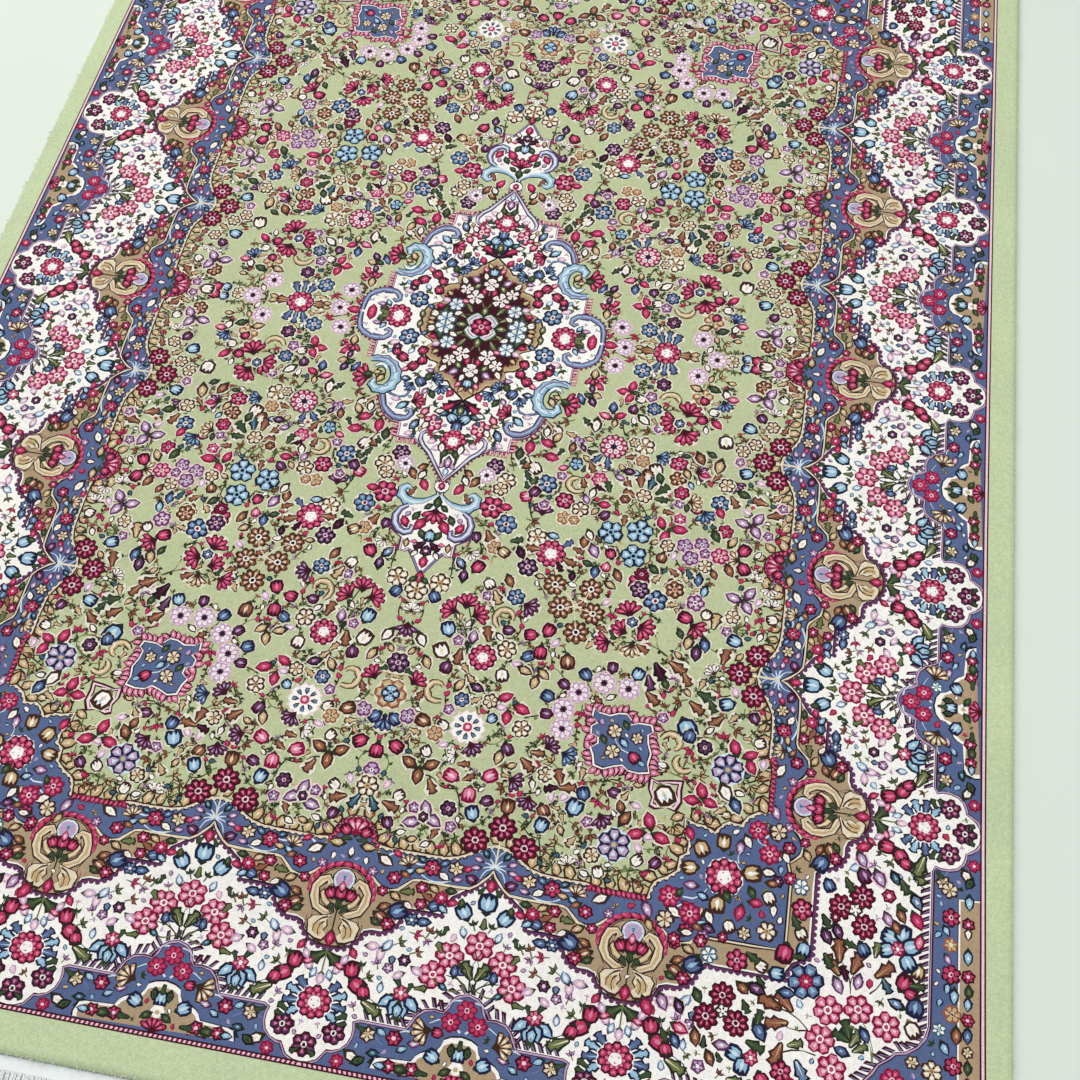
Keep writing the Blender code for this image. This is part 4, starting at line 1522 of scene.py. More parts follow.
STEM_DYES = ("leaf", "brown", "moss", "brown")
STEMS = capture(stems)
for got in (STEMS, FILL, FIELD, WHITE, LOZENGE_GOT, PENDANT_GOT, MIDDLE):
    stamp(got)
print("patches in the stems", len(STEMS[0]))

# %% [markdown]
# Last come the things that lap over the field's edge: frills round its lobes, the flower in each lobe,
# and the garnet flowers of the star-burst. Then the guard line is laid over all.

# %%  Over the field's edge
LOBE_ARC = np.array([q for q in FIELD_EDGE if q[0] <= 32], float)[:, ::-1]
for yc, s in ((0, 1), (333, 1), (333, -1)):
    frill(long_side(yc, s)(LOBE_ARC)[::s], 5.4, 8, 1)
frill(short_side(0, 1)(LOBE_ARC), 5.4, 8, -1)
frill([(302, 812), (370, 812)], 6, 8, -1)
frill([(504, 612), (504, 680)], 6, 8, 1)
for yc in (0, 333):
    stamp(LOBE, long_side(yc, 1))
stamp(LOBE, short_side(0, 1))
for yc in (HALF_REPEAT, 3 * HALF_REPEAT):
    stamp(ROSES, long_side(yc, 1))
stamp(ROSES, short_side(STAR_X, 1))
print("patches so far", len(CHART))

# %% [markdown]
# ## Free ground in the borders
# The borders and the medallion are as full as the field. The chart so far is painted on a coarse grid,
# one cell to a knot, and a small flower, bud or leaf goes wherever a whole circle of cells still has the
# colour of the ground.

# %%  Painting the chart on a grid of knots
def winding(path, px, py):
    """how often the closed path winds round each point"""
    turns = np.zeros(len(px), int)
    for (ax, ay), (bx, by) in zip(path, np.roll(path, -1, 0)):
        side = (bx - ax) * (py - ay) - (px - ax) * (by - ay)
        turns += (ay <= py) & (by > py) & (side > 0)
        turns -= (ay > py) & (by <= py) & (side < 0)
    return turns


KNOTS_ACROSS, KNOTS_ALONG = 404, 570


def painted_knots():
    knots = np.zeros((KNOTS_ALONG, KNOTS_ACROSS), int)
    for points, dye in CHART:
        low = np.clip((points.min(0) / 2).astype(int), 0, (KNOTS_ACROSS - 1, KNOTS_ALONG - 1))
        high = np.clip((points.max(0) / 2).astype(int) + 1, 0, (KNOTS_ACROSS, KNOTS_ALONG))
        if (high > low).all():
            x, y = np.meshgrid(np.arange(low[0], high[0]) * 2 + 1, np.arange(low[1], high[1]) * 2 + 1)
            held = winding(points, x.ravel(), y.ravel()).reshape(x.shape) != 0
            knots[low[1]:high[1], low[0]:high[0]][held] = DYE_NAMES.index(dye)
    return knots


print("knots in the grid", KNOTS_ACROSS * KNOTS_ALONG)

# %%  Small flowers on the ground of the borders
# ground: sizes, how many, and what
SCATTER = (
    ("cobalt", 6.6, 60, ("bloom gold", "cup crimson", "leaf moss", "bloom ivory", "bloom crimson")),
    ("cobalt", 4.6, 150, ("bud ivory", "sprig gold", "bud crimson", "sprig green", "bud sky")),
    ("cobalt", 3.0, 200, ("bud gold", "bud sky", "sprig lilac", "bud ivory")),
    ("ivory", 6.6, 26, ("bloom lilac", "leaf olive", "bloom crimson", "sprig brown", "bud haze")),
    ("ivory", 4.8, 130, ("sprig olive", "bud ghost", "sprig plum", "bud haze", "sprig brown", "bud crimson")),
    ("ivory", 3.2, 150, ("sprig olive", "bud lilac", "sprig plum", "bud sky")),
    ("tan", 4.6, 70, ("bud crimson", "sprig green", "bud ivory", "sprig brown")),
    ("tan", 3.0, 90, ("sprig green", "bud ivory", "bud crimson")))


def scatter(knots):
    rows, columns = np.mgrid[0:len(knots), 0:len(knots[0])] * 2 + 1
    for x, y, r in TAKEN:
        if 17 < r < 24:
            knots[np.hypot(columns - x, rows - y) < r] = -1
    for ground, size, count, kinds in SCATTER:
        free = knots == DYE_NAMES.index(ground)
        reach = int(size / 2 + 0.9)
        rows, columns = np.mgrid[-reach:reach + 1, -reach:reach + 1]
        disc = np.hypot(rows, columns) <= reach + 0.3
        laid = 0
        for _ in range(120 * count):
            x, y = chance.uniform(8, GUARD_X - 16), chance.uniform(8, GUARD_Y - 16)
            i, j = int(x / 2), int(y / 2)
            if not free[j, i] or not free[j - reach:j + reach + 1, i - reach:i + reach + 1][disc].all():
                continue
            read_out(f"{kinds[laid % len(kinds)]} {x:.0f} {y:.0f} {size * 1.1:.1f}")
            free[j - reach:j + reach + 1, i - reach:i + reach + 1][disc] = False
            knots[j - reach:j + reach + 1, i - reach:i + reach + 1][disc] = -1
            laid += 1
            if laid == count:
                break
        print("laid on", ground, size, laid)


HALOS[0] = False
scatter(painted_knots())


# %%  The guard line
def guard():
    """celadon outside the guard, and its line of brown and ivory; the short side has barber ticks"""
    for inner, outer, dye in ((GUARD_X, 840, "celadon"), (GUARD_X - 2, GUARD_X, "maroon"),
                              (GUARD_X - 5, GUARD_X - 2, "blush"), (GUARD_X - 7, GUARD_X - 5, "maroon")):
        d = inner - GUARD_X
        e = outer - GUARD_X if outer < 800 else 80
        lay([(inner, -5), (outer, -5), (outer, GUARD_Y + e), (-5, GUARD_Y + e), (-5, GUARD_Y + d),
             (inner, GUARD_Y + d)], dye)
    for k in range(126):
        x = 2 + k * 6
        lay([(x, GUARD_Y - 5), (x + 3, GUARD_Y - 5), (x + 4, GUARD_Y - 2), (x + 1, GUARD_Y - 2)], "wine")


guard()
print("patches", len(CHART), "points", sum(len(p) for p, _ in CHART))

# %% [markdown]
# ## From patches to one flat mesh
# The quarter is now a stack of more than eighteen thousand patches. A pile of thin sheets would flicker
# and weigh too much, so it becomes one mesh in which every triangle has one dye. Every edge of every
# patch is a line that this mesh must follow, and Blender's constrained Delaunay triangulation finds such
# a mesh. More lines are added where the pile is cut into strips, and as rows along its rounded edge.

# %%  Lines that the mesh must follow
STRIP = EDGE_Y / 5
SEGMENT = EDGE_X / 3
ROUND = 0.008 / SQUARE
CORNER_RADIUS = 10.0
EDGE_ROWS = (0.0, 0.65, 1.85, 3.8, 6.1, ROUND, 20.0)
spots, spot_index, lines = [], {}, set()


def spot(x, y):
    key = (round(float(x), 3), round(float(y), 3))
    if key not in spot_index:
        spot_index[key] = len(spots)
        spots.append(key)
    return spot_index[key]


def follow(points, closed=True):
    ids = [spot(x, y) for x, y in points]
    ends = ids[1:] + ids[:1] if closed else ids[1:]
    for a, b in zip(ids, ends):
        if a != b:
            lines.add((min(a, b), max(a, b)))


def edge_row(d):
    """a line that keeps a distance d from the edge of the pile, round its corner too"""
    points = [(EDGE_X - d, y) for y in np.linspace(0, EDGE_Y - CORNER_RADIUS, 100)]
    r = max(CORNER_RADIUS - d, 0.0)
    cx, cy = EDGE_X - max(d, CORNER_RADIUS), EDGE_Y - max(d, CORNER_RADIUS)
    points += [(cx + r * math.cos(a), cy + r * math.sin(a)) for a in np.linspace(0.15, 1.42, 5 if r else 1)]
    points += [(x, EDGE_Y - d) for x in np.linspace(cx, 0, 72)]
    follow(points, False)


for d in EDGE_ROWS:
    edge_row(d)
for k in range(5):
    follow([(0, k * STRIP), (EDGE_X, k * STRIP)], False)
for x in (0.0, SEGMENT):
    follow([(x, 0), (x, EDGE_Y)], False)
SNAPPED = [(np.round(points), dye) for points, dye in CHART]
for points, dye in SNAPPED:
    if points.max(0).min() > 0 and points[:, 0].min() < EDGE_X and points[:, 1].min() < EDGE_Y:
        follow(points)
print("spots", len(spots), "lines", len(lines))

# %% [markdown]
# ## Painting the triangles
# Each patch is painted, in the order it was laid, over the triangles whose centres lie inside it. A
# scroll may cross itself, so "inside" means that its outline winds round the centre at all.

# %%  Triangles and their dyes
found = geometry.delaunay_2d_cdt([Vector(p) for p in spots], sorted(lines), [], 0, 1e-4, False)
flat = np.array([v[:] for v in found[0]])
triangles = np.array([f for f in found[2] if len(f) == 3])
centres = flat[triangles].mean(1)
CORNER_CENTRE = (EDGE_X - CORNER_RADIUS, EDGE_Y - CORNER_RADIUS)
past = np.maximum(centres - CORNER_CENTRE, 0)
keep = (centres > 0).all(1) & (np.hypot(past[:, 0], past[:, 1]) < CORNER_RADIUS)
triangles, centres = triangles[keep], centres[keep]
by_x = np.argsort(centres[:, 0])
xs, ys = centres[by_x, 0], centres[by_x, 1]
dye_of = np.zeros(len(triangles), int)
for points, dye in SNAPPED:
    low, high = points.min(0), points.max(0)
    a, b = np.searchsorted(xs, (low[0], high[0]))
    near = a + np.nonzero((ys[a:b] > low[1]) & (ys[a:b] < high[1]))[0]
    held = near[winding(points, xs[near], ys[near]) != 0]
    dye_of[by_x[held]] = DYE_NAMES.index(dye)
print("triangles", len(triangles), "dyes in use", len(set(dye_of)))

# %% [markdown]
# Patches that lie under others have left lines inside a single dye. `dissolve_limit` takes them away and
# keeps every line between two dyes, so the mesh gets a third lighter. Seams keep the lines of the cuts.

# %%  Taking out needless lines
form = bmesh.new()
quarter = bpy.data.meshes.new("quarter")
quarter.from_pydata([(x, y, 0) for x, y in flat], [], triangles.tolist())
quarter.polygons.foreach_set("material_index", dye_of.astype(np.int32))
form.from_mesh(quarter)
bpy.data.meshes.remove(quarter)
bmesh.ops.delete(form, geom=[v for v in form.verts if not v.link_faces], context="VERTS")


def on_a_cut(edge):
    (ax, ay, _), (bx, by, _) = edge.verts[0].co, edge.verts[1].co
    if abs(ay - by) < 1e-3 and abs(ay / STRIP - round(ay / STRIP)) < 1e-4:
        return True
    return abs(ax - bx) < 1e-3 and abs(ax - SEGMENT) < 1e-3


for edge in form.edges:
    edge.seam = on_a_cut(edge)
inner = [v for v in form.verts if v.co.x < GUARD_X + 2 and v.co.y < GUARD_Y + 2]
inner_set = set(inner)
inner_edges = [e for e in form.edges if e.verts[0] in inner_set and e.verts[1] in inner_set]
bmesh.ops.dissolve_limit(
    form, angle_limit=0.01, use_dissolve_boundaries=False, verts=inner, edges=inner_edges,
    delimit={"MATERIAL", "SEAM"})
bmesh.ops.triangulate(form, faces=form.faces[:], quad_method="BEAUTY", ngon_method="BEAUTY")
form.verts.index_update()
flat = np.array([v.co[:2] for v in form.verts])
triangles = np.array([[v.index for v in f.verts] for f in form.faces])
dye_of = np.array([f.material_index for f in form.faces])
form.free()
a, b, c = (flat[triangles[:, k]] for k in range(3))
area = (b[:, 0] - a[:, 0]) * (c[:, 1] - a[:, 1]) - (b[:, 1] - a[:, 1]) * (c[:, 0] - a[:, 0])
if area.sum() < 0:
    triangles = triangles[:, ::-1]
print("triangles in a quarter", len(triangles), "corners", len(flat))
print("slivers", int((abs(area) < 1e-3).sum()))

# %% [markdown]
# ## Depth of the pile
# The pile isn't level. The black and brown outlines wear down first, because their dye holds iron, and
# the weaver clips round the flowers, so each flower and leaf stands up as a low cushion. A corner that
# touches the ground or an outline stays low, and one inside a petal is high. The whole surface rolls by
# a few tenths of a millimetre, and the edge is rounded where the outer knots lean out.

# %%  Heights in a quarter, and the way from squares to metres
GROUNDS = ("meadow", "celadon", "pale", "ivory", "tan", "cobalt")
LINES = ("ink", "brown", "maroon", "indigo", "leaf")
level = np.array([0 if name in GROUNDS else 1 if name in LINES else 2 for name in DYE_NAMES])[dye_of]
lowest = np.full(len(flat), 2)
for k in range(3):
    np.minimum.at(lowest, triangles[:, k], level)
GROUND_DEPTH, LINE_DEPTH = 0.0008, 0.0006
lowered = np.array([GROUND_DEPTH, LINE_DEPTH, 0.0])[lowest]
from_edge = np.minimum(EDGE_X - flat[:, 0], EDGE_Y - flat[:, 1])
past = np.maximum(flat - CORNER_CENTRE, 0)
in_corner = (past > 0).all(1)
from_edge[in_corner] = CORNER_RADIUS - np.hypot(past[in_corner, 0], past[in_corner, 1])
inward = np.clip(1 - from_edge / ROUND, 0, 1)
lowered += 0.008 * (1 - np.sqrt(np.clip(1 - inward ** 2, 0, 1)))


def half_width(y):
    """half the rug's width at y, in metres, as in the part: the sides spread a little towards the near end"""
    t = y / PILE_HALF_LENGTH
    return 0.7345 - 0.0110 * t + 0.0025 * t * t


def to_rug(x, y, side, end):
    """from squares in a quarter to metres on the rug; on the right side the design leans outwards a little"""
    y = y * SQUARE * end
    spread = half_width(y) / SQUARE - EDGE_X
    band = 1 - np.clip((x - GUARD_X) / (EDGE_X - GUARD_X), 0, 1)
    lean = (4 + 9 * np.clip(-y / PILE_HALF_LENGTH, 0, 1) ** 2) * band if side > 0 else 0
    x = x + (spread + lean) * np.clip(x / GUARD_X, 0, 1) ** 3
    return side * x * SQUARE + AXIS_X * band, y


def rolling(x, y):
    """long gentle waves in the pile, in metres"""
    waves = random.Random(11)
    z = np.zeros(len(x))
    for _ in range(9):
        length, way = waves.uniform(0.05, 0.45), waves.uniform(0, math.pi)
        run = x * math.cos(way) + y * math.sin(way)
        z += 0.00009 * np.sin(2 * math.pi * run / length + waves.uniform(0, 6))
    return z


print("deepest outline", round(float(lowered[from_edge > ROUND].max()) * 1000, 2), "mm")

# %% [markdown]
# ## Ten strips
# Mirroring the quarter gives the whole pile. It is cut across into ten strips, to keep each piece light.
# Every strip is closed with a skirt and a flat bottom. Its dyes are a colour attribute on the corners of
# its faces. A map named OFBake gives each strip its own unfolded place, as three blocks side by side, so
# that the design keeps its sharpness when the strip is baked.

# %%  Building the strips
LINEAR = np.array([linear_colour(dye) for dye in DYE_NAMES])
PILE_FOOT = 0.0032


def whole_pile():
    """corners, triangles, dyes and signed squares of all four quarters"""
    joined, tri, dye, squares, offset_by = [], [], [], [], 0
    for side in (1, -1):
        for end in (1, -1):
            x, y = to_rug(flat[:, 0], flat[:, 1], side, end)
            z = PILE_TOP - 0.0002 - lowered + rolling(x, y) * (inward <= 0)
            joined.append(np.stack([x, y, z], 1))
            squares.append(flat * (side, end))
            tri.append((triangles if side * end > 0 else triangles[:, ::-1]) + offset_by)
            dye.append(dye_of)
            offset_by += len(flat)
    return np.concatenate(joined), np.concatenate(tri), np.concatenate(dye), np.concatenate(squares)


points, tri, dye, squares = whole_pile()
key, index = np.unique(np.round(squares * 1000).astype(np.int64) @ (1, 10 ** 7), return_inverse=True)
first = np.zeros(len(key), int)
first[index[::-1]] = np.arange(len(squares))[::-1]
points, squares, tri = points[first], squares[first], index[tri]
whole = (tri != np.roll(tri, 1, 1)).all(1)
tri, dye = tri[whole], dye[whole]
middle = squares[tri].mean(1)
rounded_off = np.minimum(EDGE_X - abs(middle[:, 0]), EDGE_Y - abs(middle[:, 1])) < ROUND
strip_of = np.clip(((middle[:, 1] + EDGE_Y) / STRIP).astype(int), 0, 9)
block_of = np.clip(((middle[:, 0] + EDGE_X) / (2 * SEGMENT)).astype(int), 0, 2)
print("corners", len(points), "triangles", len(tri), "per strip", np.bincount(strip_of))


def open_edge(tri):
    """the loop of edges that only one triangle has"""
    edges = np.concatenate([tri[:, [0, 1]], tri[:, [1, 2]], tri[:, [2, 0]]])
    code = edges[:, 0].astype(np.int64) * 10 ** 7 + edges[:, 1]
    back = edges[:, 1].astype(np.int64) * 10 ** 7 + edges[:, 0]
    after = dict(edges[~np.isin(code, back)].tolist())
    loop = [min(after)]
    while after[loop[-1]] != loop[0]:
        loop.append(after[loop[-1]])
    return loop, len(after)


def new_object(name, data):
    made = bpy.data.objects.new(name, data)
    bpy.context.scene.collection.objects.link(made)
    return made


def make_strip(number):
    mine = strip_of == number
    used, local = np.unique(tri[mine], return_inverse=True)
    local = local.reshape(-1, 3)
    loop, length = open_edge(local)
    n = len(used)
    foot = points[used][loop] * (1, 1, 0) + (0, 0, PILE_FOOT)
    faces = local.tolist()
    faces += [[loop[(k + 1) % len(loop)], loop[k], n + k, n + (k + 1) % len(loop)] for k in range(len(loop))]
    faces.append([n + k for k in range(len(loop))][::-1])
    mesh = bpy.data.meshes.new(f"pile_strip_{number + 1:02d}")
    mesh.from_pydata(np.concatenate([points[used], foot]).tolist(), [], faces)
    smooth = np.zeros(len(faces), bool)
    smooth[:len(local)] = rounded_off[mine]
    mesh.polygons.foreach_set("use_smooth", smooth)
    rim_pairs = {(min(a, b), max(a, b)) for a, b in zip(loop, loop[1:] + loop[:1])}
    sharp = np.zeros(len(mesh.edges), bool)
    ends = np.zeros(2 * len(mesh.edges), int)
    mesh.edges.foreach_get("vertices", ends)
    for k, (a, b) in enumerate(np.sort(ends.reshape(-1, 2), 1).tolist()):
        sharp[k] = (a, b) in rim_pairs
    mesh.attributes.new("sharp_edge", "BOOLEAN", "EDGE").data.foreach_set("value", sharp)
    corners = len(mesh.loops)
    top = 3 * len(local)
    colour = np.tile(linear_colour("celadon"), (corners, 1))
    colour[:top] = np.repeat(LINEAR[dye[mine]], 3, axis=0)
    attribute = mesh.color_attributes.new("dye", "FLOAT_COLOR", "CORNER")
    attribute.data.foreach_set("color", colour.ravel())
    uv = np.zeros((corners, 2))
    spots_here = squares[used]
    block = np.repeat(block_of[mine], 3)
    across = (spots_here[local.ravel(), 0] + EDGE_X) / (2 * SEGMENT) - block
    along_it = (spots_here[local.ravel(), 1] + EDGE_Y) / STRIP - number
    uv[:top, 0] = 0.004 + 0.992 * across
    uv[:top, 1] = (block + 0.012 + 0.966 * along_it) / 3 * 0.97
    rest = np.array([c for f in faces[len(local):] for c in f])
    rim = np.concatenate([spots_here, spots_here[loop]])
    uv[top:, 0] = 0.004 + 0.992 * (rim[rest, 0] + EDGE_X) / (2 * EDGE_X)
    uv[top:, 1] = 0.974 + 0.022 * ((rim[rest, 1] + EDGE_Y) / STRIP - number)
    mesh.uv_layers.new(name="OFBake").data.foreach_set("uv", uv.ravel())
    return new_object(mesh.name, mesh), len(loop) == length


strips = []
for number in range(10):
    strip, one_loop = make_strip(number)
    strips.append(strip)
    print(strip.name, len(strip.data.polygons), "faces, one open loop closed:", one_loop)

# %% [markdown]
# ## Building materials from nodes
# A material is a small graph of nodes. These helpers keep the graph readable: `add` makes a node, sets
# its plain inputs and links the rest.

# %%  Node helpers
def add(tree, kind, settings=None, **inputs):
    node = tree.nodes.new(kind)
    for name, value in (settings or {}).items():
        setattr(node, name, value)
    for name, value in inputs.items():
        by_number = name[0] == "i" and name[1:].isdigit()
        wire(tree, node.inputs[int(name[1:]) if by_number else name.replace("_", " ")], value)
    return node


def wire(tree, socket, value):
    if isinstance(value, bpy.types.NodeSocket):
        tree.links.new(value, socket)
    else:
        socket.default_value = value


def maths(tree, operation, a, b=0.0, clamp=False):
    return add(tree, "ShaderNodeMath", {"operation": operation, "use_clamp": clamp}, i0=a, i1=b).outputs[0]


def blend_colours(tree, way, amount, a, b):
    node = add(tree, "ShaderNodeMix", {"data_type": "RGBA", "blend_type": way})
    wire(tree, node.inputs[0], amount)
    wire(tree, node.inputs[6], a)
    wire(tree, node.inputs[7], b)
    return node.outputs[2]


def new_group(name, inputs, outputs):
    tree = bpy.data.node_groups.new(name, "ShaderNodeTree")
    for label, kind, value in inputs:
        socket = tree.interface.new_socket(label, in_out="INPUT", socket_type=kind)
        socket.default_value = value
    for label, kind in outputs:
        tree.interface.new_socket(label, in_out="OUTPUT", socket_type=kind)
    return tree, tree.nodes.new("NodeGroupInput"), tree.nodes.new("NodeGroupOutput")


def new_material(name, roughness, **constants):
    """a material whose constant shader values sit on the shader's own sockets"""
    material = bpy.data.materials.new(name)
    material.use_nodes = True
    tree = material.node_tree
    shader = tree.nodes["Principled BSDF"]
    shader.inputs["Roughness"].default_value = roughness
    for label, value in constants.items():
        shader.inputs[label.replace("_", " ")].default_value = value
    return material, tree, shader


# %% [markdown]
# ## Hand-dyed wool
# Wool is dyed in small batches, so a colour drifts in bands across the rug as batches change, which is
# called abrash. Each knot also takes dye a little differently. The colour also carries painted light: a
# painted highlight on the cut tips, and painted shade in the gaps between knots. One group makes all of
# that from three inputs, and the pile, the back and the overcast edge use it with their own values.

# %%  The wool group
KNOT = 2 * SQUARE
wool, wool_in, wool_out = new_group(
    "hand-dyed wool",
    (("Dye", "NodeSocketColor", (0.5, 0.5, 0.5, 1)), ("Band Drift", "NodeSocketFloat", 0.5),
     ("Knot Contrast", "NodeSocketFloat", 0.5), ("Fuzz", "NodeSocketFloat", 0.5)),
    (("Colour", "NodeSocketColor"), ("Height", "NodeSocketFloat")))
place_on = add(wool, "ShaderNodeTexCoord").outputs["Object"]
axes = add(wool, "ShaderNodeSeparateXYZ", Vector=place_on)
column = maths(wool, "DIVIDE", axes.outputs[0], KNOT)
row = maths(wool, "DIVIDE", axes.outputs[1], KNOT)
cell = add(wool, "ShaderNodeCombineXYZ", X=maths(wool, "FLOOR", column), Y=maths(wool, "FLOOR", row))
per_knot = add(wool, "ShaderNodeTexWhiteNoise", {"noise_dimensions": "2D"}, Vector=cell.outputs[0])
stretched = add(wool, "ShaderNodeVectorMath", {"operation": "MULTIPLY"}, i0=place_on, i1=(0.7, 9.0, 0.0))
bands = add(wool, "ShaderNodeTexNoise", Vector=stretched.outputs[0], Scale=1.0, Detail=3.0, Roughness=0.6)
clouds = add(wool, "ShaderNodeTexNoise", Vector=place_on, Scale=9.0, Detail=4.0, Roughness=0.6)
tips = add(wool, "ShaderNodeTexNoise", Vector=place_on, Scale=900.0, Detail=3.0, Roughness=0.7)
tufts = add(wool, "ShaderNodeTexNoise", Vector=place_on, Scale=190.0, Detail=3.0, Roughness=0.65)
dome_x = maths(wool, "ABSOLUTE", maths(wool, "SINE", maths(wool, "MULTIPLY", column, math.pi)))
dome_y = maths(wool, "ABSOLUTE", maths(wool, "SINE", maths(wool, "MULTIPLY", row, math.pi)))
dome = maths(wool, "MULTIPLY", maths(wool, "POWER", dome_x, 0.4), maths(wool, "POWER", dome_y, 0.6))


def scale_about_one(value, middle, amount):
    """1 plus amount times how far a value is from its middle"""
    node = wool.nodes.new("ShaderNodeMath")
    node.operation = "MULTIPLY_ADD"
    wire(wool, node.inputs[0], maths(wool, "SUBTRACT", value, middle))
    wire(wool, node.inputs[1], amount)
    node.inputs[2].default_value = 1.0
    return node.outputs[0]


knot_amount = maths(wool, "MULTIPLY", wool_in.outputs["Knot Contrast"], 0.16)
shade = scale_about_one(per_knot.outputs[0], 0.5, knot_amount)
shade = maths(wool, "MULTIPLY", shade, scale_about_one(
    bands.outputs[0], 0.5, maths(wool, "MULTIPLY", wool_in.outputs["Band Drift"], 0.45)))
shade = maths(wool, "MULTIPLY", shade, scale_about_one(clouds.outputs[0], 0.5, 0.16))
# painted shade: the colour is darker in the gaps between knots and a little lighter on their domed tops
shade = maths(wool, "MULTIPLY", shade, scale_about_one(
    dome, 0.75, maths(wool, "MULTIPLY", wool_in.outputs["Knot Contrast"], 0.22)))
shade = maths(wool, "MULTIPLY", shade, scale_about_one(
    tufts.outputs[0], 0.5, maths(wool, "MULTIPLY", wool_in.outputs["Fuzz"], 0.5)))
shaded = add(wool, "ShaderNodeVectorMath", {"operation": "SCALE"}, i0=wool_in.outputs["Dye"])
wire(wool, shaded.inputs["Scale"], shade)
aged = blend_colours(wool, "MULTIPLY", maths(wool, "MULTIPLY", bands.outputs[0], 0.35), shaded.outputs[0],
                     (1.0, 0.97, 0.86, 1))
# painted highlight: the cut tips of the fibres are lightened as if they caught the light
tip_highlight_mask = add(wool, "ShaderNodeMapRange", Value=tips.outputs[0], From_Min=0.5, From_Max=0.75).outputs[0]
tip_highlight_mask = maths(wool, "MULTIPLY", tip_highlight_mask, maths(wool, "MULTIPLY", wool_in.outputs["Fuzz"], 0.5))
tip_highlighted = blend_colours(wool, "SOFT_LIGHT", tip_highlight_mask, aged, (0.95, 0.95, 0.92, 1))
wire(wool, wool_out.inputs["Colour"], tip_highlighted)
height = maths(wool, "MULTIPLY", dome, wool_in.outputs["Knot Contrast"])
height = maths(wool, "ADD", height, maths(wool, "MULTIPLY", tufts.outputs[0], 0.9))
height = maths(wool, "ADD", height, maths(wool, "MULTIPLY", tips.outputs[0], 0.45))
wire(wool, wool_out.inputs["Height"], height)
print("nodes in the wool group", len(wool.nodes))


# %% [markdown]
# The wool material places this group between the dye and the shader. The pile reads its dye from the
# colour attribute of its corners, while the overcast edge and the loose wool have one dye each.

# %%  Pile wool
def wool_material(name, dye, band_drift, knot_contrast, fuzz, bump, sheen):
    """dye is a colour, or None to read the colour attribute of the pile"""
    material, tree, shader = new_material(name, 0.92, Sheen_Weight=sheen, Sheen_Roughness=0.45,
                                          Specular_IOR_Level=0.12)
    group = add(tree, "ShaderNodeGroup", {"node_tree": wool}, Band_Drift=band_drift,
                Knot_Contrast=knot_contrast, Fuzz=fuzz)
    if dye is None:
        wire(tree, group.inputs["Dye"], add(tree, "ShaderNodeVertexColor", {"layer_name": "dye"}).outputs[0])
    else:
        group.inputs["Dye"].default_value = linear_colour(dye)
    wire(tree, shader.inputs["Base Color"], group.outputs["Colour"])
    rough = add(tree, "ShaderNodeBump", Strength=0.8, Distance=bump, Height=group.outputs["Height"])
    wire(tree, shader.inputs["Normal"], rough.outputs[0])
    return material


pile_wool = wool_material("pile wool", None, 0.45, 0.8, 0.8, 0.0006, 0.06)
for strip in strips:
    strip.data.materials.append(pile_wool)
    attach(strip, "root")
    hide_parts("rug_pile")
print("nodes in the pile wool", len(pile_wool.node_tree.nodes))

# %% [markdown]
# ## Cotton
# The fringe is the ends of the warp, undyed cotton spun in several plies. The heading beside the pile is
# the same cotton, flat-woven. The ply shows as slanted lines along each strand, as bumps and as painted
# shade in the grooves between plies, and the white is mottled with grey where it has been walked on.

# %%  Cotton
cotton, cotton_in, cotton_out = new_group(
    "spun cotton", (("Ply", "NodeSocketFloat", 1.0), ("Soil", "NodeSocketFloat", 0.5)),
    (("Colour", "NodeSocketColor"), ("Height", "NodeSocketFloat")))
place_on = add(cotton, "ShaderNodeTexCoord").outputs["Object"]
twist = add(cotton, "ShaderNodeTexWave", {"bands_direction": "DIAGONAL"}, Vector=place_on, Scale=150.0,
            Distortion=2.2, Detail=2.0)
fluff = add(cotton, "ShaderNodeTexNoise", Vector=place_on, Scale=420.0, Detail=5.0, Roughness=0.7)
soiled = add(cotton, "ShaderNodeTexNoise", Vector=place_on, Scale=34.0, Detail=4.0, Roughness=0.65)
soil = add(cotton, "ShaderNodeMapRange", Value=soiled.outputs[0], From_Min=0.42, From_Max=0.72).outputs[0]
soil = maths(cotton, "MULTIPLY", soil, cotton_in.outputs["Soil"])
white = blend_colours(cotton, "MIX", soil, (0.87, 0.90, 0.90, 1), (0.62, 0.63, 0.57, 1))
# painted shade: the colour darkens along the grooves between the plies
ply_groove_shade = maths(cotton, "MULTIPLY", twist.outputs[1], maths(cotton, "MULTIPLY", cotton_in.outputs["Ply"], 0.28))
white = blend_colours(cotton, "MULTIPLY", ply_groove_shade, white, (0.55, 0.56, 0.52, 1))
speck = add(cotton, "ShaderNodeMapRange", Value=fluff.outputs[0], From_Min=0.55, From_Max=0.9).outputs[0]
white = blend_colours(cotton, "MULTIPLY", maths(cotton, "MULTIPLY", speck, 0.4), white, (0.6, 0.6, 0.56, 1))
wire(cotton, cotton_out.inputs["Colour"], white)
thread = maths(cotton, "MULTIPLY", twist.outputs[1], cotton_in.outputs["Ply"])
wire(cotton, cotton_out.inputs["Height"], maths(cotton, "ADD", thread, fluff.outputs[0]))


def cotton_material(name, ply, soil_amount, bump):
    material, tree, shader = new_material(name, 0.88, Sheen_Weight=0.2, Sheen_Roughness=0.5,
                                          Specular_IOR_Level=0.2)
    group = add(tree, "ShaderNodeGroup", {"node_tree": cotton}, Ply=ply, Soil=soil_amount)
    wire(tree, shader.inputs["Base Color"], group.outputs["Colour"])
    rough = add(tree, "ShaderNodeBump", Strength=0.7, Distance=bump, Height=group.outputs["Height"])
    wire(tree, shader.inputs["Normal"], rough.outputs[0])
    return material


fringe_cotton = cotton_material("fringe cotton", 1.0, 0.35, 0.0005)
heading_cotton = cotton_material("heading cotton", 0.6, 0.5, 0.0004)
print("materials", [m.name for m in bpy.data.materials])
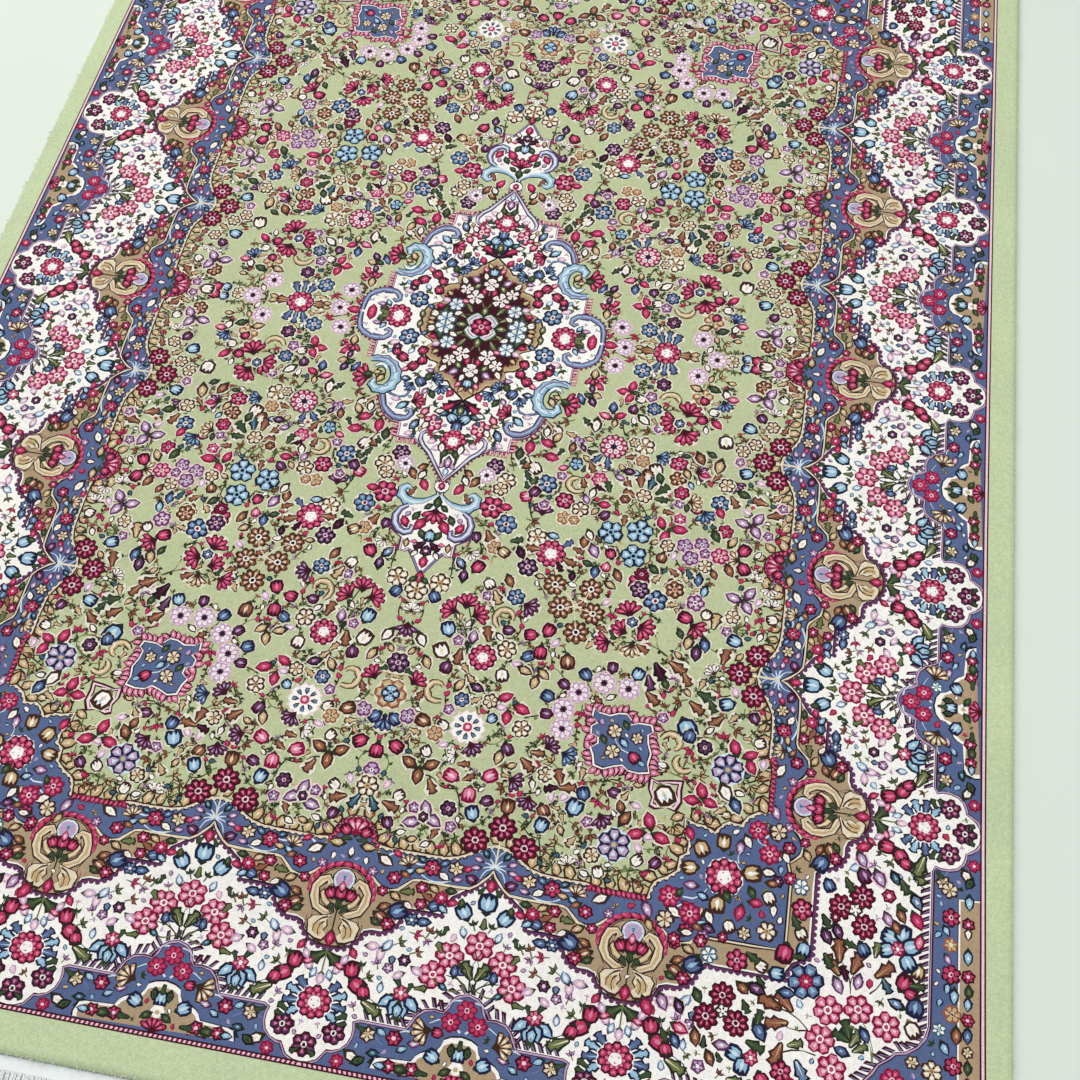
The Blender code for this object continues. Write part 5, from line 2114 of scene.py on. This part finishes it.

# %% [markdown]
# ## The woven back
# Under the pile lies the foundation, with the backs of the knots showing as small ribs. It is one thin
# sheet, a little smaller than the pile.

# %%  Woven back
def joined(name, corners, faces, material, smooth=True):
    """one object from many small parts"""
    mesh = bpy.data.meshes.new(name)
    mesh.from_pydata(corners, [], faces)
    mesh.polygons.foreach_set("use_smooth", [smooth] * len(faces))
    mesh.materials.append(material)
    made = new_object(name, mesh)
    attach(made, "root")
    print(name, len(corners), "corners", len(faces), "faces")
    return made


def two_layers(across, rows, spot):
    """a closed slab on a grid: spot(i, j, layer) gives each corner, and layer 1 is the upper one"""
    corners = [spot(i, j, layer) for layer in (0, 1) for j in range(rows + 1) for i in range(across + 1)]
    n = (across + 1) * (rows + 1)
    faces = []
    for j in range(rows):
        for i in range(across):
            a = j * (across + 1) + i
            faces.append((a, a + across + 1, a + across + 2, a + 1))
            faces.append((n + a, n + a + 1, n + a + across + 2, n + a + across + 1))
    rim = list(range(across)) + [across + j * (across + 1) for j in range(rows)]
    rim += [rows * (across + 1) + i for i in range(across, 0, -1)]
    rim += [j * (across + 1) for j in range(rows, 0, -1)]
    faces += [(a, b, n + b, n + a) for a, b in zip(rim, rim[1:] + rim[:1])]
    return corners, faces


BACK_INSET = 0.0016
BACK_THICKNESS = 0.0029
BACK_GRID = (26, 36)


def back_spot(i, j, layer):
    y = (2 * j / BACK_GRID[1] - 1) * (PILE_HALF_LENGTH - BACK_INSET)
    return (2 * i / BACK_GRID[0] - 1) * (half_width(y) - BACK_INSET), y, layer * BACK_THICKNESS


back_wool = wool_material("back of the knots", "celadon", 0.4, 1.0, 0.3, 0.0004, 0.1)
back = joined("woven_back", *two_layers(*BACK_GRID, back_spot), back_wool, False)

# %% [markdown]
# The design shows on the back too, blunter than on the pile. The photograph doesn't show it, so it isn't
# charted again: nodes step through the dyes of the bands by the distance from the edge, with the same
# waves, and set blossoms on them. Coordinates are snapped to pairs of knots, which gives the stepped look.

# %%  The design on the back
tree = back_wool.node_tree
where = add(tree, "ShaderNodeTexCoord").outputs["Object"]
snapped = add(tree, "ShaderNodeVectorMath", {"operation": "SNAP"}, i0=where, i1=(2 * KNOT, 2 * KNOT, 1.0))
stepped = snapped.outputs[0]
axes = add(tree, "ShaderNodeSeparateXYZ", Vector=stepped).outputs
BACK_BANDS = ((0.0, "cobalt"), (0.09, "ivory"), (0.215, "tan"), (0.262, "cobalt"), (0.30, "meadow"))
BACK_FLOWERS = ((0.0, "crimson"), (0.3, "gold"), (0.45, "slate"), (0.6, "rose"), (0.72, "moss"),
                (0.86, "plum"))


def dye_steps(value, steps):
    """sharp steps from one dye to the next as a value grows"""
    node = add(tree, "ShaderNodeValToRGB", Fac=value)
    ramp = node.color_ramp
    ramp.interpolation = "CONSTANT"
    for start, dye in steps:
        element = ramp.elements[0] if start == 0.0 else ramp.elements.new(start)
        element.color = linear_colour(dye)
    ramp.elements[-1].color = linear_colour(steps[-1][1])
    return node.outputs[0]


def diamond(width, length):
    """true inside a lozenge about the middle of the rug"""
    across = maths(tree, "DIVIDE", maths(tree, "ABSOLUTE", axes[0]), width)
    along_it = maths(tree, "DIVIDE", maths(tree, "ABSOLUTE", axes[1]), length)
    return maths(tree, "LESS_THAN", maths(tree, "ADD", across, along_it), 1.0)


def blossoms(ground, scale, size):
    """one blossom to a cell: a dark outline, petals of one dye and a pale heart"""
    cells = add(tree, "ShaderNodeTexVoronoi", {"voronoi_dimensions": "2D"}, Vector=stepped, Scale=scale,
                Randomness=0.8)
    drawn = add(tree, "ShaderNodeSeparateColor", Color=cells.outputs["Color"]).outputs[0]
    petals = dye_steps(drawn, BACK_FLOWERS)
    for share, colour in ((1.0, linear_colour("brown")), (0.8, petals), (0.3, linear_colour("cream"))):
        near = maths(tree, "LESS_THAN", cells.outputs["Distance"], size * share)
        ground = blend_colours(tree, "MIX", near, ground, colour)
    return ground


from_side = maths(tree, "SUBTRACT", 0.735, maths(tree, "ABSOLUTE", axes[0]))
from_end = maths(tree, "SUBTRACT", PILE_HALF_LENGTH, maths(tree, "ABSOLUTE", axes[1]))
from_rim = maths(tree, "MINIMUM", from_side, from_end)
by_a_side = maths(tree, "LESS_THAN", from_side, from_end)
wave_of_side = maths(tree, "COSINE", maths(tree, "MULTIPLY", axes[1], 2 * math.pi / (333 * SQUARE)))
wave_of_end = maths(tree, "COSINE", maths(tree, "MULTIPLY", axes[0], 2 * math.pi / (360 * SQUARE)))
wave = maths(tree, "ADD", maths(tree, "MULTIPLY", wave_of_side, by_a_side),
             maths(tree, "MULTIPLY", wave_of_end, maths(tree, "SUBTRACT", 1.0, by_a_side)))
design = dye_steps(maths(tree, "ADD", from_rim, maths(tree, "MULTIPLY", wave, 0.04)), BACK_BANDS)
BACK_MEDALLION = ((0.185, 0.265, "plum"), (0.175, 0.255, "ivory"),
                  (0.09, 0.13, "tan"), (0.08, 0.12, "maroon"))
for width, length, dye in BACK_MEDALLION:
    design = blend_colours(tree, "MIX", diamond(width, length), design, linear_colour(dye))
design = blossoms(blossoms(design, 78.0, 0.34), 33.0, 0.40)
for reach, dye in ((0.040, "maroon"), (0.035, "celadon")):
    design = blend_colours(tree, "MIX", maths(tree, "LESS_THAN", from_rim, reach), design, linear_colour(dye))
group = next(q for q in tree.nodes if q.type == "GROUP")
wire(tree, group.inputs["Dye"], design)
print("nodes on the back", len(tree.nodes))

# %% [markdown]
# ## The overcast sides
# Along both long sides the outermost warps are wrapped in wool, over and over, which makes a slim bead
# with slanted ridges. Each turn of the wrapping is a small swelling in a tube.

# %%  Overcast bead
def overcast():
    corners, faces = [], []
    sides, step = 6, 0.0066
    for side in (-1, 1):
        count = int(2 * (PILE_HALF_LENGTH - 0.004) / step) * 2
        start = len(corners)
        for k in range(count + 1):
            y = -(PILE_HALF_LENGTH - 0.004) + 2 * (PILE_HALF_LENGTH - 0.004) * k / count
            r = 0.0019 + (0.00035 if k % 2 else 0.0) + chance.uniform(-0.00012, 0.00012)
            for q in range(sides):
                a = 2 * math.pi * q / sides
                corners.append((side * (half_width(y) - 0.0006 + r * math.cos(a)), y + 0.0009 * math.sin(a),
                                max(0.0001, 0.0024 + r * 1.05 * math.sin(a))))
        for k in range(count):
            for q in range(sides):
                a, b = start + k * sides + q, start + k * sides + (q + 1) % sides
                faces.append((a, a + sides, b + sides, b))
        for k in (0, count):
            cap = tuple(start + k * sides + q for q in range(sides))
            faces.append(cap if k == 0 else cap[::-1])
    return corners, faces


bead_wool = wool_material("overcast wool", "celadon", 0.5, 0.3, 0.7, 0.0005, 0.3)
binding = joined("overcast_sides", *overcast(), bead_wool)

# %% [markdown]
# ## Loose wool at the edge
# At the edge the outermost knots lean out and fray, so the rug has a soft, slightly furry outline in the
# photograph. A few thousand small curved blades of wool stand round it, three-sided so that they show
# from any side.

# %%  Edge tufts
def blade(corners, faces, foot, tip, thick):
    """a thin three-sided spike from foot to tip, bent in the middle"""
    foot, tip = Vector(foot), Vector(tip)
    way = tip - foot
    side = way.cross(Vector((0.3, 0.2, 1))).normalized() * thick
    up = way.cross(side).normalized() * thick
    mid = foot + way * 0.55 + Vector((0, 0, 0.25 * way.length))
    start = len(corners)
    for centre, size in ((foot, 1.0), (mid, 0.75)):
        for a in (0, 2.1, 4.2):
            corners.append(tuple(centre + side * math.cos(a) * size + up * math.sin(a) * size))
    corners.append(tuple(tip))
    for q in range(3):
        a, b = start + q, start + (q + 1) % 3
        faces.append((a, b, b + 3, a + 3))
        faces.append((a + 3, b + 3, start + 6))
    faces.append((start + 2, start + 1, start))


def edge_tufts():
    corners, faces = [], []
    for _ in range(2500):
        t = chance.uniform(0, 4 * (PILE_HALF_LENGTH + 0.735))
        side = 1 if chance.random() < 0.5 else -1
        if chance.random() < PILE_HALF_LENGTH / (PILE_HALF_LENGTH + 0.735):
            y = chance.uniform(-1, 1) * (PILE_HALF_LENGTH - 0.003)
            x, out = side * (half_width(y) - chance.uniform(0.0005, 0.004)), (side, 0)
        else:
            y = side * (PILE_HALF_LENGTH - chance.uniform(0.0005, 0.004))
            x, out = chance.uniform(-1, 1) * (half_width(y) - 0.004), (0, side)
        z = chance.uniform(0.002, 0.0095)
        reach = chance.uniform(0.0015, 0.0052)
        sway = chance.uniform(-0.004, 0.004)
        tip = (x + out[0] * reach + abs(out[1]) * sway, y + out[1] * reach + abs(out[0]) * sway,
               max(0.0006, z + chance.uniform(-0.003, 0.0018)))
        blade(corners, faces, (x, y, z), tip, chance.uniform(0.00035, 0.0007))
    return corners, faces


tuft_wool = wool_material("loose edge wool", "pale", 0.4, 0.2, 1.0, 0.0004, 0.35)
tufts_made = joined("edge_tufts", *edge_tufts(), tuft_wool)

# %% [markdown]
# ## Headings
# At each end a narrow band of flat-woven cotton keeps the last row of knots in place. It is a grid of
# small over-and-under bumps, finer than the eye can count from above.

# %%  Headings
HEADING = 0.017
FRINGE = 0.061
FRINGE_SIDE = 0.006
HEADING_GRID = (220, 6)


def heading(end):
    edge = PILE_HALF_LENGTH
    half = half_width(end * edge) - FRINGE_SIDE

    def spot(i, j, layer):
        x = (2 * i / HEADING_GRID[0] - 1) * half
        y = edge + 0.0004 + HEADING * j / HEADING_GRID[1]
        bump = 0.00035 if (i + j) % 2 else -0.00035
        return x, end * y, 0.0019 + bump if layer else 0.0002

    corners, faces = two_layers(*HEADING_GRID, spot)
    return corners, faces if end > 0 else [face[::-1] for face in faces]


near_heading = joined("near_heading", *heading(-1), heading_cotton)
far_heading = joined("far_heading", *heading(1), heading_cotton)

# %% [markdown]
# ## Fringe
# Past the heading the warps hang free in bundles, about seventy to the metre. Each bundle is several
# strands that start side by side, wander, and lie on the floor. From above they close into a white band
# with thin dark slits between the bundles.

# %%  Fringe strands
def strand(corners, faces, path, radius):
    """a five-sided flattened tube along a path, closed at both ends"""
    start = len(corners)
    for k, (x, y, z) in enumerate(path):
        slim = radius * (1.0 if k < len(path) - 1 else 0.55)
        for q in range(5):
            a = 2 * math.pi * (q + 0.25) / 5
            corners.append((x + slim * math.cos(a), y, max(0.0001, z + slim * 0.72 * math.sin(a))))
    for k in range(len(path) - 1):
        for q in range(5):
            a, b = start + k * 5 + q, start + k * 5 + (q + 1) % 5
            faces.append((a, b, b + 5, a + 5) if path[-1][1] < path[0][1] else (a, a + 5, b + 5, b))
    first = tuple(start + q for q in range(5))
    last = tuple(start + (len(path) - 1) * 5 + q for q in range(5))
    if path[-1][1] < path[0][1]:
        faces.append(first[::-1])
        faces.append(last)
    else:
        faces.append(first)
        faces.append(last[::-1])


def fringe(end):
    corners, faces = [], []
    edge = PILE_HALF_LENGTH
    half = half_width(end * edge) - FRINGE_SIDE
    bundles = int(2 * half / 0.0136)
    pitch = 2 * half / bundles
    for k in range(bundles):
        middle = -half + pitch * (k + 0.5)
        lean = chance.uniform(-0.003, 0.003)
        for s in range(5):
            root = middle + (s - 2) * pitch * 0.2
            tip = middle + lean + (s - 2) * pitch * chance.uniform(0.14, 0.25)
            length = FRINGE - chance.uniform(0.0, 0.007)
            sway = chance.uniform(-0.0016, 0.0016)
            path = []
            for q in range(5):
                t = q / 4
                x = root + (tip - root) * t + sway * math.sin(math.pi * 2 * t)
                y = edge + HEADING - 0.002 + (length + 0.002) * t
                z = 0.00135 + 0.0006 * math.sin(9 * t + s) * t + (0.0012 if s % 2 else 0.0)
                path.append((x, end * y, z))
            strand(corners, faces, path, chance.uniform(0.0012, 0.0016))
    return corners, faces


near_fringe = joined("near_fringe", *fringe(-1), fringe_cotton)
far_fringe = joined("far_fringe", *fringe(1), fringe_cotton)
for piece, node in ((near_heading, "fringe_near"), (near_fringe, "fringe_near"),
                    (far_heading, "fringe_far"), (far_fringe, "fringe_far")):
    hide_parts(node)

# %% [markdown]
# ## One rug
# All of these are one rug: every piece of it is attached to the same body, root.

# %% [markdown]
# ## Floor, light and camera
# The photograph shows the rug from above and in front, on a pale floor, in soft even light. The camera's
# place was worked out from where the corners and repeats of the pattern fall in the picture.

# %%  Floor
floor_mesh = bpy.data.meshes.new("floor")
floor_mesh.from_pydata([(-9, -9, 0), (9, -9, 0), (9, 9, 0), (-9, 9, 0)], [], [(0, 1, 2, 3)])
floor = new_object("floor", floor_mesh)
floor.location.z = -0.0004
floor_paint, tree, shader = new_material("plain floor", 0.75)
floor_place = add(tree, "ShaderNodeTexCoord").outputs["Object"]
grain = add(tree, "ShaderNodeTexNoise", Vector=floor_place, Scale=3.0, Detail=3.0)
wire(tree, shader.inputs["Base Color"], blend_colours(
    tree, "MIX", grain.outputs[0], (0.665, 0.715, 0.640, 1), (0.690, 0.735, 0.660, 1)))
floor_mesh.materials.append(floor_paint)
floor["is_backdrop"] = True
print("floor lies at", round(floor.location.z * 1000, 1), "mm")

# %%  Light
def soft_light(name, place_at, size, power, colour):
    lamp = bpy.data.lights.new(name, "AREA")
    lamp.shape = "DISK"
    lamp.size = size
    lamp.energy = power
    lamp.color = colour
    made = new_object(name, lamp)
    made.location = place_at
    made.rotation_euler = (-Vector(place_at)).to_track_quat("-Z", "Y").to_euler()


soft_light("window", (-2.6, 2.4, 3.6), 3.2, 135, (1.0, 0.98, 0.95))
soft_light("ceiling", (1.2, -0.8, 4.2), 4.5, 90, (0.97, 0.99, 1.0))
world = bpy.data.worlds.new("studio")
world.use_nodes = True
world.node_tree.nodes["Background"].inputs[0].default_value = (0.93, 0.96, 1.0, 1)
world.node_tree.nodes["Background"].inputs[1].default_value = 0.46
bpy.context.scene.world = world
bpy.context.scene.view_settings.view_transform = "Standard"


# %%  Camera
def turn_about(axis, degrees):
    return np.array(Matrix.Rotation(math.radians(degrees), 3, axis))


ROLL, YAW, TILT = 8.80054, 5.31278, 152.73639
RUG_UNIT = 0.915
SHIFT = np.array([-0.09007838, -0.32695077, 2.05408973])
FOCAL_PIXELS, IMAGE_SIZE = 1340.69, 1080
axes_seen = turn_about("Z", ROLL) @ turn_about("Y", YAW) @ turn_about("X", TILT)
eye = -axes_seen.T @ SHIFT * RUG_UNIT + (AXIS_X, 0, PILE_TOP)
pose = Matrix([[*axes_seen[0]], [*-axes_seen[1]], [*-axes_seen[2]]]).transposed().to_4x4()
pose.translation = eye
camera_data = bpy.data.cameras.new("camera")
camera_data.sensor_width = 36.0
camera_data.lens = 36.0 * FOCAL_PIXELS / IMAGE_SIZE
camera_data.clip_start = 0.01
camera = new_object("camera", camera_data)
camera.matrix_world = pose
bpy.context.scene.camera = camera
print("camera at", tuple(round(float(c), 3) for c in eye))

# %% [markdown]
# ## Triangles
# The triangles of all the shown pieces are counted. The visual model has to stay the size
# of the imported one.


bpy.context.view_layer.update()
made = [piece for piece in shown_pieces() if piece.type == "MESH"]
print("triangles in all", sum(len(face.vertices) - 2 for piece in made for face in piece.data.polygons))
